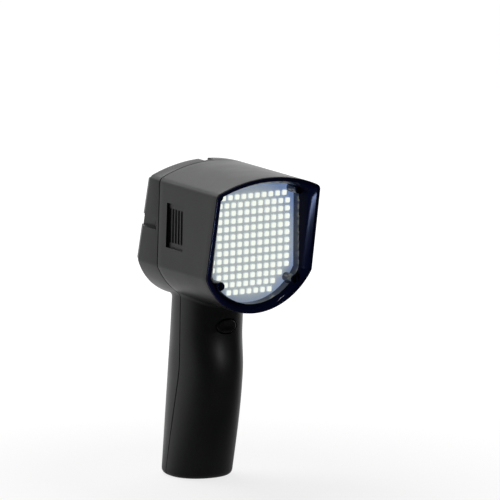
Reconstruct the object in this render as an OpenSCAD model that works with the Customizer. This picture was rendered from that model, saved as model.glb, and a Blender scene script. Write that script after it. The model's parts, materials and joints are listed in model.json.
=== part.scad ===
// Hand-held LED stroboscope: a lamp head with a hood in front and a display face behind, on a pistol grip.
// Millimetres, +Z up, the lamp faces -Y and the display faces +Y.
// The origin is the mouth of the tripod thread, in the plane of the grip's foot.

/* [Head] */
// Width of the head across its upper corners
head_top_w = 85.5; // [80:0.5:88]
// Width of the head across its lower corners
head_low_w = 87.5; // [83:0.5:90]
// Height of the lamp centre above the foot
lamp_z = 173.6; // [168:0.2:180]
// Crown of the head above the lamp centre
crown_up = 50.5; // [48.5:0.5:53]
// Upper corners above the lamp centre
corner_up = 41; // [39:0.2:42]
// Lower corners below the lamp centre
corner_down = 20.2; // [18.5:0.1:21]
// Lowest point of the head below the lamp centre
chin_down = 48.5; // [46.5:0.5:50]
// Radius of the upper corners
corner_r = 4.5; // [3:0.5:6]
// Wall of the head
head_wall = 2.2; // [1.8:0.1:2.6]
// Lamp plane ahead of the tripod thread
lamp_reach = 56; // [53:0.5:60]
// Joint between the two housings, ahead of the tripod thread
seam_reach = 5.4; // [4.8:0.1:6]
// Rear edge of the head behind the tripod thread, at lamp height
back_reach = 15.7; // [14.5:0.1:17]
// Lean of the rear face from upright
back_tilt = 11.3; // [10:0.1:12.5]

/* [Lamp] */
// Distance between neighbouring LEDs
led_pitch = 5.6; // [5.3:0.05:5.7]
// Side of one LED package
led_size = 3.8; // [3.2:0.1:4.2]
// Height of one LED package
led_h = 0.8; // [0.6:0.1:1.2]
// Rim of the hood ahead of the lamp plane, at lamp height
rim_ahead = 16.2; // [13:0.2:17]
// Lean of the rim from upright
rim_tilt = 10; // [7:0.5:11]
// Thickness of the hood's front lip
lip_t = 2; // [1.6:0.1:2.6]
// Width of the hood's lip at the rim
lip_w = 3; // [2.8:0.1:3.6]
// Wall of the hood
hood_wall = 1.6; // [1.2:0.1:2]
// Hood opening at the lamp plane, in from the head's outline
hood_in = 7; // [6.8:0.1:7.6]
// Length of the hood's screw posts
post_h = 8; // [6:0.5:9]
// Thickness of every circuit board
pcb_t = 1.6; // [1:0.1:2]
// Thickness of the heat spreader's plate
spreader_t = 1; // [0.8:0.1:1.4]

/* [Display face] */
// Display face behind the rear edge of the head
face_step = 7.4; // [6.6:0.1:8.2]
// Display face in from the head's outline
face_in = 4.2; // [3.6:0.1:4.6]
// Thickness of the display face
face_wall = 2.4; // [2:0.1:2.8]
// Width of the visible screen
screen_w = 53.4; // [50:0.2:55]
// Height of the visible screen
screen_h = 29.3; // [27:0.1:31]
// Screen centre above the lamp centre, along the face
screen_up = 8.9; // [8:0.1:9.6]
// Depth of the screen's recess
recess_deep = 5.9; // [5:0.1:6.6]
// Widening of the recess at its mouth, on each side
recess_flare = 5.2; // [4:0.1:5.4]
// Thickness of the clear display window
window_t = 1.2; // [0.8:0.1:1.6]
// Thickness of the LCD module
lcd_t = 4.2; // [3.6:0.1:5]
// Travel of a key
key_travel = 0.8; // [0.5:0.1:1.2]
// Gap round a key
key_gap = 0.7; // [0.5:0.05:0.8]
// Distance between the key columns
key_pitch = 15.3; // [14.8:0.1:15.8]

/* [Grip] */
// Width of the grip
grip_w = 48; // [46:0.5:50]
// Wall of the grip
grip_wall = 2.4; // [2:0.1:2.8]
// Squareness of the grip's section, where 2 is an ellipse
grip_square = 2.15; // [2:0.05:2.4]
// Widest line of the grip behind the thread, at the foot
grip_mid_y = 5.2; // [4.4:0.1:6]
// Lean of the widest line
grip_mid_lean = 3.8; // [3.4:0.1:4.2]
// Back of the grip behind the thread, at the foot
grip_back_y = 32; // [31:0.5:34]
// Lean of the back
grip_back_lean = 4.9; // [4.5:0.1:5.2]
// Depth ahead of the widest line at the foot
fore_foot = 21.4; // [20.5:0.1:23]
// Depth ahead of the widest line at the palm swell
fore_swell = 32.6; // [31:0.1:34]
// Depth ahead of the widest line at the trigger
fore_top = 27; // [26:0.1:28]
// Height of the palm swell
swell_z = 75.5; // [70:0.5:78]
// Length over which the swell dies out below the trigger
swell_run = 34; // [30:1:36]
// Radius of the foot's edge
foot_r = 4; // [2.5:0.5:4.5]
// Radius of the blend between grip and head
blend_r = 4; // [2:0.5:4.5]
// Thickness of the foot
floor_t = 2.6; // [2:0.1:3]
// Width of the trigger button
trigger_w = 16; // [13:0.5:17]
// Height of the trigger button
trigger_h = 10; // [9.5:0.5:11.5]
// Height of the trigger button's centre
trigger_z = 110.5; // [108:0.5:113]
// Travel of the trigger button
trigger_travel = 1.5; // [1:0.1:2]

/* [Inside] */
// Diameter of a battery cell
cell_d = 18.4; // [17:0.1:18.6]
// Length of a battery cell
cell_l = 65; // [60:0.5:66]
// Shaft diameter of the case screws
screw_d = 3; // [2.5:0.1:3.2]
// Outer diameter of the tripod insert
insert_d = 10; // [9:0.5:10.5]
// Length of the tripod insert
insert_l = 7; // [6:0.5:7.5]
// Thread bore of the tripod insert
thread_d = 6.35; // [6:0.05:6.5]
// Bore of the charging socket
charge_d = 5.5; // [5:0.1:6]
// Bore of the sync socket
sync_d = 3.5; // [3:0.1:4]

/* [Hidden] */
$fn = 40;

// Clearances
slip = 0.05;
fit = 0.1;
air = 0.3;
// How far a cut runs past the face it opens, and how far the solids of one piece run into each other
past = 1;
joined = 0.5;
big = 400;

// Counts of LEDs in each row, from the top
led_rows = [11, 12, 12, 12, 12, 12, 12, 12, 12, 12, 10, 8, 7];

// Stations along Y
seam_y = -seam_reach;
lamp_y = -lamp_reach;
rim_y = lamp_y - rim_ahead;
led_board_y = lamp_y + led_h;
ledge_t = 2;
ledge_y = led_board_y + pcb_t;
standoff_l = 22;
driver_y = ledge_y + ledge_t + standoff_l;
edge_y = back_reach;
face_y = back_reach + face_step;
chin_z = lamp_z - chin_down;

// Curves of the head's outline
crown_rise = crown_up - corner_up;
crown_rad = (pow(head_top_w / 2, 2) + pow(crown_rise, 2)) / (2 * crown_rise);
crown_c = [0, crown_up - crown_rad];
chin_rise = chin_down - corner_down;
chin_rad = (pow(head_low_w / 2, 2) + pow(chin_rise, 2)) / (2 * chin_rise);
chin_c = [0, chin_rad - chin_down];
side_lean = atan((head_low_w - head_top_w) / 2 / (corner_up + corner_down));
side_n = [cos(side_lean), sin(side_lean)];
side_t = [-sin(side_lean), cos(side_lean)];
side_reach = side_n * [head_top_w / 2, corner_up];
inner_corner_r = 1.5;

// Screw posts of the hood, from the lamp centre
post_r = 3.2;
post_y = led_board_y - post_h;
hood_screw_r = 1.2;
hood_screw_bite = 7;
hood_screw_l = post_h + pcb_t + hood_screw_bite;
driver_way = 10;
row_top = 0;
post_up_drop = 4;
post_low_turn = -39.8;
post_low_in = 0.9;
post_low_r = chin_rad - hood_in - post_low_in;
post_up = [row_end(row_top) + post_r + slip, corner_up - post_up_drop];
post_low = chin_c + post_low_r * [cos(post_low_turn), sin(post_low_turn)];
post_spots = [post_up, [-post_up.x, post_up.y], post_low, [-post_low.x, post_low.y]];
ledge_w = 6.8;
ledge_in = head_wall + ledge_w;
anchor_l = 9;
board_air = 0.8;
lip_in = 0.2;

// Driver board
driver_h = 50;
driver_up = 2;
driver_edge = 3;
driver_hold = 1.3;
driver_margin = 2.3;
driver_ups = [for (s = [-1, 1]) driver_up + s * (driver_h / 2 - driver_edge)];
driver_xs = [for (up = driver_ups) side_x(up) - ledge_in - driver_hold];
driver_w = 2 * (max(driver_xs) + driver_margin);
driver_spots = [for (s = [-1, 1], k = [0, 1]) [s * driver_xs[k], lamp_z + driver_ups[k]]];

// Small screws for the boards and the hood
small_screw_r = 1;
small_screw_l = 6;
small_head = 1.9;
small_head_h = 1.4;
cross_w = 0.35;
cross_l = 1.3;
cross_deep = 0.8;

// Side vents
vent_back = 4.6;
vent_y = (seam_y + lamp_y) / 2 + vent_back;
vent_w = 21.4;
vent_h = 31.5;
vent_up = 10.25;
vent_deep = 1.8;
vent_frame = 2;
vent_reach = 14;
vent_slots = 5;
slots_back = 1.1;
slot_pitch = 3.6;
slot_w = 2.3;
slot_h = 24;

// Case screws and their places
screw_r = screw_d / 2;
head_r = screw_d * 0.9;
head_h = screw_d * 0.6;
notch_w = 8;
notch_deep = 5.6;
notch_wall = 2;
notch_floor = 3;
notch_up = 8.7;
notch_reach = 60;
boss_wall = 2;
boss_spare = 1;
boss_r = screw_r + boss_wall;
head_screw_l = 12;
boss_l = head_screw_l + boss_spare;
side_screw_x = side_x(notch_up) - notch_deep / 2;
head_spots = [[side_screw_x, notch_up], [-side_screw_x, notch_up], [0, crown_up - notch_deep / 2]];
pillar_wall = 2.7;
pillar_r = screw_r + pillar_wall;
pillar_web = 3;
grip_screw_l = 16;
trigger_room = 10.4;
grip_screw_low = 12;
grip_screw_zs = [grip_screw_low, trigger_z - trigger_room];

// Seam of the grip
seam_bend_z = 85.6;
seam_soft = 16;
seam_lean = 11.6;

// Facets of the grip
grip_n = 22;
grip_rings = 11;
neck_z = trigger_z - 3;
pass_r = 16;
pass_y = seam_y - 2;

// Rear edge and the shoulder of the display face
step_in = 1.4;
edge_wall = 1.2;
plate_in = 1;
mouth_r = 3;
screen_r = 2;
well_wall = 1.8;
layer = 0.01;

// Display face stack, measured inwards from the face
lip_floor = 1.2;
window_border = 3;
window_w = screen_w + 2 * window_border;
window_h = screen_h + 2 * window_border;
lcd_border = 3.3;
window_z = recess_deep + lip_floor;
lcd_z = window_z + window_t;
main_z = lcd_z + lcd_t;
switch_h = 3.6;
key_proud = 0.7;
flange_t = 1.2;
flange_w = 1;
flange_room = fit + flange_t + key_travel + air;
stem_r = 1.8;
boss_small_r = 2.8;
board_rim = 4.2;
board_toe = 0.7;
board_toe_down = 3.5;
board_spot_over = 9;
board_spot_under = 11.7;
board_spot_in = 1.6;
board_spots = [
    for (s = [-1, 1]) [s * screen_w / 2, screen_up + screen_h / 2 + board_spot_over],
    for (s = [-1, 1]) [s * (screen_w / 2 - board_spot_in), screen_up - screen_h / 2 - board_spot_under]
];

// Keys: outline and place on the face
key_names = ["upper_left", "upper_middle", "upper_right", "lower_left", "lower_middle", "lower_right"];
key_h = 6.6;
key_w = 7.8;
key_row_up = -22.2;
key_row_low = -35.5;
key_low_h = 10;
key_low_w = 7.4;
key_clip = 2.4;
shield_point = 2.2;
fan_top = 4.6;
fan_h = 8.5;
fan_side = 1;
fan_toe = 1.2;

// Trigger stations along Y, from the grip's front
trigger_gap = 0.6;
trigger_proud = 0.7;
trigger_stop = 4.6;
trigger_flange = 1.6;
trigger_ear = 2;
collar_wall = 1.6;
collar_curve = grip_w / 2 - 2;
trigger_switch_h = 4;
trigger_front = grip_mid(trigger_z) - grip_fore(trigger_z);
trigger_stop_y = trigger_front + trigger_stop;
trigger_board_y = trigger_stop_y + fit + trigger_flange + trigger_travel + air + trigger_switch_h;

// Battery pack
cell_r = cell_d / 2;
nub_r = 2.8;
nub_h = 1;
sleeve_t = 0.5;
tray_t = 2;
tray_air = 1.2;
tray_hole_r = 2.4;
tray_z = grip_screw_low + pillar_r + air;
pack_z = tray_z + tray_t;
pack_y = grip_mid(pack_z + cell_l / 2) - 0.6;
cell_ring = (cell_d + fit) / sqrt(3);
foam_w = 14;
foam_l = 22;
foam_z = pack_z + cell_l + slip;
foam_top = trigger_z - trigger_room - pillar_r - air;

// Sockets in the foot
socket_x = 12.5;
socket_y = -1;
socket_h = 8;
socket_body = 4.6;
socket_neck = 3.6;
socket_sunk = 0.4;
socket_back = 2;
insert_wall = 2;
insert_roof = 1.2;

// Routes of the leads, chosen by hand
lead_r = 1.2;
lead_bend = 10;
lead_under = 12;
battery_lead_down = 18;
socket_lead_down = 21;
trigger_lead_r = 0.84;
lamp_lead_down = 18;
lamp_lead_z = lamp_z - lamp_lead_down;
lamp_lead_hole = 4.2;
tray_hole = [15.5, 14];
socket_route = [
    [12.8, 1, 13.6], [14, 7, 14.2], [15, 12, 14.4], [15.5, 14, 16.6], [15.5, 14, 20],
    [15.5, 13, 50], [15.2, 11, 80], [14.2, 6, 96], [12.8, 1, 106]
];
lead_sides = 8;
driver_back = driver_y + pcb_t;

// Outer end of a row of LEDs
function row_end(r) = (led_rows[r] - 1) / 2 * led_pitch + led_size / 2;

// Points of the head's outline, from the lamp centre, inset by i
function side_x(z) = head_top_w / 2 + (corner_up - z) * tan(side_lean);
function corner_rad(i) = max(corner_r - i, inner_corner_r);
function corner_centre(i, r) =
    let (k = side_reach - i - r - side_n * crown_c, m = sqrt(pow(crown_rad - i - r, 2) - k * k))
    crown_c + k * side_n + m * side_t;
function low_corner(i) =
    let (k = side_reach - i - side_n * chin_c, m = sqrt(pow(chin_rad - i, 2) - k * k))
    chin_c + k * side_n - m * side_t;
function arc(c, r, a0, a1, n) =
    [for (k = [0 : n]) let (a = a0 + (a1 - a0) * k / n) c + r * [cos(a), sin(a)]];
function half_outline(i) =
    let (
        r = corner_rad(i),
        q = corner_centre(i, r),
        turn = atan2(q.y - crown_c.y, q.x - crown_c.x),
        p = low_corner(i),
        low_turn = atan2(p.y - chin_c.y, p.x - chin_c.x)
    )
    concat(
        arc(crown_c, crown_rad - i, 90, turn, 8),
        arc(q, r, turn - (turn - side_lean) / 5, side_lean, 4),
        arc(chin_c, chin_rad - i, low_turn, -90, 14)
    );
function outline(i) =
    let (h = half_outline(i), n = len(h))
    concat(h, [for (k = [n - 2 : -1 : 1]) [-h[k].x, h[k].y]]);

// A plane that leans back as it rises
function plane_y(y, tilt, z) = y - (z - lamp_z) * tan(tilt);
function outline_ring(i, y, tilt) =
    [for (p = outline(i)) [p.x, plane_y(y, tilt, lamp_z + p.y), lamp_z + p.y]];

// Section of the grip at height z, as half-axes about the widest line
function grip_mid(z) = grip_mid_y - z * tan(grip_mid_lean);
function grip_back(z) = grip_back_y - z * tan(grip_back_lean);
function grip_fore(z) =
    z < swell_z
    ? fore_foot + (fore_swell - fore_foot) * sin(90 * z / swell_z)
    : fore_top + (fore_swell - fore_top) * pow(cos(90 * min(1, (z - swell_z) / swell_run)), 2);
function signed_pow(v, e) = sign(v) * pow(abs(v), e);
function grip_depth(z, s) = s > 0 ? grip_back(z) - grip_mid(z) : grip_fore(z);
function grip_point(z, t, i) =
    [(grip_w / 2 - i) * signed_pow(cos(t), 2 / grip_square),
     grip_mid(z) + (grip_depth(z, sin(t)) - i) * signed_pow(sin(t), 2 / grip_square)];

// The seam runs straight down the upper grip, then bends back towards the foot
function bend(d) = d <= 0 ? 0 : d < seam_soft ? d * d / (2 * seam_soft) : d - seam_soft / 2;
function seam_at(z) = seam_y + tan(seam_lean) * bend(seam_bend_z - max(z, foot_r));
function seam_turn(z, i) =
    let (s = seam_at(z) - grip_mid(z))
    sign(s) * asin(pow(min(1, abs(s) / (grip_depth(z, s) - i)), grip_square / 2));
function half_turn(half, z, i, k) =
    let (s = seam_turn(z, i))
    half < 0 ? s - (180 + 2 * s) * k / grip_n : s + (180 - 2 * s) * k / grip_n;

// Rings of the grip: height, outer inset, inner inset, and how far the ring follows the chin's curve
function chin_lift(x) = chin_rad - sqrt(chin_rad * chin_rad - x * x);
function grip_ring_list() =
    concat(
        [for (a = [0 : 30 : 90]) [foot_r * (1 - cos(a)), foot_r * (1 - sin(a)), foot_r + 1.4, 0]],
        [for (k = [1 : grip_rings]) [foot_r + (neck_z - foot_r) * k / grip_rings, 0, grip_wall, 0]],
        [for (f = [0.35, 0.7]) [neck_z + (chin_z - blend_r - neck_z) * f, 0, grip_wall, f]],
        [for (a = [0 : 30 : 90]) [chin_z - blend_r * (1 - sin(a)), -blend_r * (1 - cos(a)), grip_wall, 1]],
        [[chin_z + head_wall / 2, -blend_r, grip_wall, 1]]
    );
function grip_ring_point(half, ring, inset, k) =
    let (p = grip_point(ring[0], half_turn(half, ring[0], inset, k), inset))
    [p.x, p.y, ring[0] + ring[3] * chin_lift(p.x)];
function grip_ring(half, ring) =
    concat(
        [for (k = [0 : grip_n]) grip_ring_point(half, ring, ring[1], k)],
        [for (k = [grip_n : -1 : 0]) grip_ring_point(half, ring, ring[2], k)]
    );
function quad(a, b, c, d) = [[a, b, c], [a, c, d]];
function flipped(faces, flip) =
    flip ? [for (f = faces) [for (k = [len(f) - 1 : -1 : 0]) f[k]]] : faces;

// Wall of one half of the grip, as a loft of open rings
module grip_shell(half) {
    rings = grip_ring_list();
    m = 2 * grip_n + 2;
    last = (len(rings) - 1) * m;
    points = [for (ring = rings) each grip_ring(half, ring)];
    sides = [
        for (j = [0 : len(rings) - 2], i = [0 : m - 1])
            each quad(j * m + i, j * m + (i + 1) % m, (j + 1) * m + (i + 1) % m, (j + 1) * m + i)
    ];
    foot = [for (k = [0 : grip_n - 1]) each quad(m - 1 - k, m - 2 - k, k + 1, k)];
    top = [
        for (k = [0 : grip_n - 1])
            each quad(last + k, last + k + 1, last + m - 2 - k, last + m - 1 - k)
    ];
    polyhedron(points, flipped(concat(sides, foot, top), half > 0), convexity = 8);
}

// Floor of one half of the grip
module grip_floor(half) {
    i = foot_r + 0.7;
    linear_extrude(floor_t)
        polygon([for (k = [0 : grip_n]) grip_point(0, half_turn(half, 0, i, k), i)]);
}

// Prism through two like rings of points
module loft(a, b) {
    n = len(a);
    sides = [for (i = [0 : n - 1]) each quad(n + i, n + (i + 1) % n, (i + 1) % n, i)];
    polyhedron(
        concat(a, b),
        concat([[for (i = [0 : n - 1]) i]], sides, [[for (i = [n - 1 : -1 : 0]) n + i]]),
        convexity = 4
    );
}

// Flat shape in the head's XZ plane, from y0 back to y1
module along_y(y0, y1, z = lamp_z) {
    translate([0, y1, z])
        rotate([90, 0, 0])
            linear_extrude(y1 - y0)
                children();
}

// Round bar along Y
module bar_y(x, z, r, y0, y1) {
    translate([x, y1, z])
        rotate([90, 0, 0])
            cylinder(r = r, h = y1 - y0);
}

// Everything behind a leaning plane
module behind(y, tilt) {
    translate([0, y, lamp_z])
        rotate([tilt, 0, 0])
            translate([-big / 2, 0, -big / 2])
                cube(big);
}

// Everything ahead of a leaning plane
module ahead(y, tilt) {
    translate([0, y, lamp_z])
        rotate([tilt, 0, 0])
            translate([-big / 2, -big, -big / 2])
                cube(big);
}

// Head prism from y0 back to a leaning plane
module head_prism(i, y0, y1, tilt) {
    difference() {
        along_y(y0, y1 + big / 4)
            polygon(outline(i));
        behind(y1, tilt);
    }
}

// Children drawn on the display face as its user sees it: X to the right, Y up the face, Z out of it
module on_face() {
    translate([0, face_y, lamp_z])
        rotate([90 - back_tilt, 0, 180])
            children();
}

module rounded_rect(w, h, r) {
    polygon(concat(
        arc([w / 2 - r, h / 2 - r], r, 0, 90, 5),
        arc([r - w / 2, h / 2 - r], r, 90, 180, 5),
        arc([r - w / 2, r - h / 2], r, 180, 270, 5),
        arc([w / 2 - r, r - h / 2], r, 270, 360, 5)
    ));
}

module ellipse(w, h) {
    polygon([for (a = [0 : 10 : 350]) [w / 2 * cos(a), h / 2 * sin(a)]]);
}

// Way through from the grip into the head
module neck_passage() {
    translate([0, pass_y, chin_z - past])
        cylinder(r = pass_r, h = head_wall + chin_lift(pass_r) + 2 * past);
}

// Front housing

// Place of a vent: x is square to the leaning side wall, from its outer face
module on_side(side) {
    translate([side * side_x(vent_up), vent_y, lamp_z + vent_up])
        rotate([0, -side * side_lean, 0])
            children();
}

module vent_pad(side) {
    on_side(side)
        translate([-side * (head_wall + vent_deep / 2), 0, 0])
            cube([vent_deep + past, vent_w + 2 * vent_frame, vent_h + 2 * vent_frame], center = true);
}

module vent_cut(side) {
    on_side(side) {
        translate([side * (vent_reach / 2 - vent_deep), 0, 0])
            cube([vent_reach, vent_w, vent_h], center = true);
        for (k = [0 : vent_slots - 1])
            translate([0, slots_back + (k - (vent_slots - 1) / 2) * slot_pitch, 0])
                cube([vent_reach, slot_w, slot_h], center = true);
    }
}

module front_head_shell() {
    difference() {
        along_y(rim_y - big / 4, seam_y)
            polygon(outline(0));
        ahead(rim_y + lip_t, rim_tilt);
        along_y(rim_y - big / 2, seam_y + past)
            polygon(outline(head_wall));
    }
    along_y(ledge_y, ledge_y + ledge_t)
        difference() {
            polygon(outline(head_wall / 2));
            polygon(outline(ledge_in));
        }
}

module front_bosses() {
    intersection() {
        along_y(rim_y, seam_y)
            polygon(outline(head_wall / 2));
        union() {
            for (p = head_spots)
                bar_y(p.x, lamp_z + p.y, boss_r, seam_y - boss_l, seam_y);
            for (p = post_spots)
                bar_y(p.x, lamp_z + p.y, post_r, ledge_y, ledge_y + anchor_l);
            for (p = driver_spots)
                bar_y(p.x, p.y, post_r, ledge_y + ledge_t / 2, driver_y);
            for (side = [-1, 1])
                vent_pad(side);
        }
    }
}

module front_pillars() {
    for (z = grip_screw_zs)
        bar_y(0, z, pillar_r, grip_mid(z) - grip_fore(z) + grip_wall / 2, seam_at(z));
}

// Room behind the wall for the trigger's ears, grown outwards
module trigger_room_cut(grow, front, back) {
    along_y(front, back, trigger_z)
        ellipse(
            trigger_w + 2 * (trigger_gap + trigger_ear + fit + grow),
            trigger_h + 2 * (trigger_gap + fit + grow)
        );
}

module trigger_collar() {
    intersection() {
        trigger_room_cut(collar_wall, trigger_front, trigger_board_y);
        translate([0, trigger_front + grip_wall / 2 + collar_curve, trigger_z - big / 8])
            cylinder(r = collar_curve, h = big / 4);
    }
}

module front_housing() color("#3a3b3d") {
    difference() {
        union() {
            difference() {
                front_head_shell();
                neck_passage();
            }
            front_bosses();
            grip_shell(-1);
            grip_floor(-1);
            front_pillars();
            trigger_collar();
            cylinder(r = insert_d / 2 + insert_wall, h = insert_l + insert_wall / 2);
        }
        for (side = [-1, 1])
            vent_cut(side);
        for (p = head_spots)
            bar_y(p.x, lamp_z + p.y, screw_r + slip, seam_y - head_screw_l, seam_y + past);
        for (p = post_spots)
            bar_y(p.x, lamp_z + p.y, hood_screw_r + slip, ledge_y - past, ledge_y + anchor_l - past);
        for (p = driver_spots)
            bar_y(p.x, p.y, small_screw_r + slip, driver_y - small_screw_l, driver_y + past);
        for (z = grip_screw_zs)
            bar_y(0, z, screw_r + slip, seam_at(z) - grip_screw_l, seam_at(z) + past);
        along_y(trigger_front - trigger_stop, trigger_stop_y + past, trigger_z)
            ellipse(trigger_w + 2 * trigger_gap, trigger_h + 2 * trigger_gap);
        trigger_room_cut(0, trigger_stop_y, trigger_board_y + past);
        translate([0, 0, -past])
            cylinder(r = insert_d / 2 + slip, h = insert_l + past + fit);
        for (s = [-1, 1])
            translate([s * socket_x, socket_y, -past])
                cylinder(r = socket_neck + slip, h = floor_t + 2 * past);
    }
}

// Rear housing

module rear_outer() {
    head_prism(0, seam_y, edge_y, back_tilt);
    loft(
        outline_ring(step_in, edge_y - joined, back_tilt),
        outline_ring(face_in, face_y, back_tilt)
    );
}

module rear_inner() {
    head_prism(head_wall, seam_y - past, edge_y - edge_wall, back_tilt);
    head_prism(face_in + plate_in, seam_y - past, face_y - face_wall / cos(back_tilt), back_tilt);
}

// Flared recess of the screen, from its floor up to its mouth
module screen_well(grow, floor_z, mouth_z) {
    flare = recess_flare + grow;
    hull() {
        translate([0, screen_up, mouth_z])
            linear_extrude(layer)
                rounded_rect(screen_w + 2 * flare, screen_h + 2 * flare, mouth_r + grow);
        translate([0, screen_up, floor_z])
            linear_extrude(layer)
                rounded_rect(screen_w + 2 * grow, screen_h + 2 * grow, screen_r + grow);
    }
}

module notch_blocks(grow) {
    w = notch_w + 2 * grow;
    floor_y = seam_y + (grow > 0 ? 0 : notch_floor);
    for (side = [-1, 1])
        translate([side * (side_x(notch_up) - notch_deep - grow), floor_y, lamp_z + notch_up - w / 2])
            mirror([side < 0 ? 1 : 0, 0, 0])
                cube([notch_reach, notch_reach, w]);
    translate([-w / 2, floor_y, lamp_z + crown_up - notch_deep - grow])
        cube([w, notch_reach, notch_reach]);
}

module rear_pillars() {
    for (z = grip_screw_zs)
        bar_y(0, z, pillar_r, seam_at(z), grip_back(z) - grip_wall / 2);
}

module rear_housing() color("#3a3b3d") {
    difference() {
        union() {
            difference() {
                rear_outer();
                rear_inner();
                neck_passage();
            }
            intersection() {
                rear_outer();
                union() {
                    notch_blocks(notch_wall);
                    on_face()
                        screen_well(well_wall, -window_z - slip, -fit);
                }
            }
            on_face()
                for (p = board_spots)
                    translate([p.x, p.y, -main_z])
                        cylinder(r = boss_small_r, h = main_z - face_wall / 2);
            grip_shell(1);
            grip_floor(1);
            rear_pillars();
        }
        notch_blocks(0);
        for (p = head_spots)
            bar_y(p.x, lamp_z + p.y, screw_r + slip, seam_y - past, seam_y + notch_floor + past);
        for (z = grip_screw_zs) {
            bar_y(0, z, screw_r + slip, seam_at(z) - past, grip_back(z));
            bar_y(0, z, head_r + fit, seam_at(z) + pillar_web, grip_back(z) + pillar_r);
        }
        on_face() {
            screen_well(0, -recess_deep, fit);
            translate([0, screen_up, -window_z - slip])
                linear_extrude(window_z)
                    rounded_rect(screen_w, screen_h, screen_r);
            translate([0, screen_up, -main_z])
                linear_extrude(main_z - window_z)
                    rounded_rect(window_w + fit, window_h + fit, screen_r);
            for (k = key_names)
                key_place(k) {
                    translate([0, 0, -face_wall - past])
                        linear_extrude(face_wall + 2 * past)
                            polygon(grown(key_outline(k), key_gap));
                    translate([0, 0, -face_wall - flange_room])
                        linear_extrude(flange_room)
                            key_flange(k, air);
                }
            for (p = board_spots)
                translate([p.x, p.y, -main_z - past])
                    cylinder(r = small_screw_r + slip, h = small_screw_l + past);
        }
    }
}

// Screw along Z with its head upwards and seated at the origin
module screw(r, l, head, h) {
    translate([0, 0, -l])
        cylinder(r = r, h = l + joined);
    difference() {
        cylinder(r = head, h = h);
        for (turn = [0, 90])
            rotate(turn)
                translate([-head * cross_l / 2, -r * cross_w, h - cross_deep])
                    cube([head * cross_l, 2 * r * cross_w, past + cross_deep]);
    }
}

// Lamp

module lamp_hood() color("#11131c") {
    difference() {
        union() {
            difference() {
                along_y(rim_y - big / 4, lamp_y)
                    polygon(outline(lip_in));
                behind(rim_y + lip_t, rim_tilt);
                ahead(rim_y, rim_tilt);
            }
            loft(
                outline_ring(head_wall + fit, rim_y + lip_t - joined, rim_tilt),
                outline_ring(hood_in - hood_wall, led_board_y, 0)
            );
            for (p = post_spots)
                bar_y(p.x, lamp_z + p.y, post_r, post_y, led_board_y);
        }
        hood_cavity();
        for (p = post_spots) {
            bar_y(p.x, lamp_z + p.y, hood_screw_r + slip, post_y - past, led_board_y + past);
            bar_y(p.x, lamp_z + p.y, hood_screw_r * small_head + air, post_y - driver_way, post_y);
        }
    }
}

module hood_cavity() {
    difference() {
        loft(
            outline_ring(lip_w - lip_in, rim_y - past, rim_tilt),
            outline_ring(hood_in, led_board_y + joined, 0)
        );
        for (p = post_spots)
            bar_y(p.x, lamp_z + p.y, post_r, post_y, led_board_y + past);
    }
}

module led_board() color("#c3ccd6") {
    difference() {
        along_y(led_board_y, ledge_y)
            polygon(outline(head_wall + board_air));
        for (p = post_spots)
            bar_y(p.x, lamp_z + p.y, hood_screw_r + air, led_board_y - past, ledge_y + past);
    }
}

module led_array() color("#f6faf2") {
    mid = (len(led_rows) - 1) / 2;
    for (r = [0 : len(led_rows) - 1], c = [0 : led_rows[r] - 1])
        translate([
            (c - (led_rows[r] - 1) / 2) * led_pitch - led_size / 2,
            lamp_y,
            lamp_z + (mid - r) * led_pitch - led_size / 2
        ])
            cube([led_size, led_h, led_size]);
}

module hood_screws() color("#2b2c30") {
    for (p = post_spots)
        translate([p.x, post_y, lamp_z + p.y])
            rotate([90, 0, 0])
                screw(hood_screw_r, hood_screw_l, hood_screw_r * small_head, small_head_h);
}

module heat_spreader() color("#a9adb2") {
    fin_pitch = 11;
    fin_t = 1;
    fin_h = 5;
    fin_l = 48;
    difference() {
        along_y(ledge_y, ledge_y + spreader_t)
            polygon(outline(ledge_in + air));
        bar_y(0, lamp_lead_z, lamp_lead_hole, ledge_y - past, ledge_y + spreader_t + past);
        for (p = post_spots)
            bar_y(p.x, lamp_z + p.y, post_r + air, ledge_y - past, ledge_y + spreader_t + past);
        for (p = driver_spots)
            bar_y(p.x, p.y, post_r + air, ledge_y - past, ledge_y + spreader_t + past);
    }
    for (k = [-2, -1, 1, 2])
        translate([k * fin_pitch - fin_t / 2, ledge_y + spreader_t - joined, lamp_z - fin_l / 2])
            cube([fin_t, fin_h + joined, fin_l]);
}

// Driver board with its parts

module driver_board() color("#2e6b4a") {
    difference() {
        translate([-driver_w / 2, driver_y, lamp_z + driver_up - driver_h / 2])
            cube([driver_w, pcb_t, driver_h]);
        for (p = driver_spots)
            bar_y(p.x, p.y, small_screw_r + air, driver_y - past, driver_back + past);
    }
}

module capacitors() color("#27313f") {
    cap_r = 6.3;
    cap_h = 16;
    cap_pitch = 16;
    cap_up = 13;
    for (k = [-1, 0, 1])
        bar_y(k * cap_pitch, lamp_z + driver_up + cap_up, cap_r, driver_back, driver_back + cap_h);
}

module power_inductors() color("#4a4a4e") {
    block = 10;
    block_h = 6;
    block_x = 18;
    block_down = 12;
    for (s = [-1, 1])
        translate([s * block_x - block / 2, driver_back, lamp_z + driver_up - block_down - block / 2])
            cube([block, block_h, block]);
}

module driver_screws() color("#9a9da2") {
    for (p = driver_spots)
        translate([p.x, driver_back, p.y])
            rotate([-90, 0, 0])
                screw(small_screw_r, small_screw_l, small_screw_r * small_head, small_head_h);
}

// Push switch on its board, with its plunger along Z
module switch(h) {
    body_w = 6;
    plunger_r = 1.7;
    plunger_h = 1;
    translate([-body_w / 2, -body_w / 2, 0])
        cube([body_w, body_w, h - plunger_h]);
    translate([0, 0, h - plunger_h - joined])
        cylinder(r = plunger_r, h = plunger_h + joined);
}

// Display, keys and main board

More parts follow.
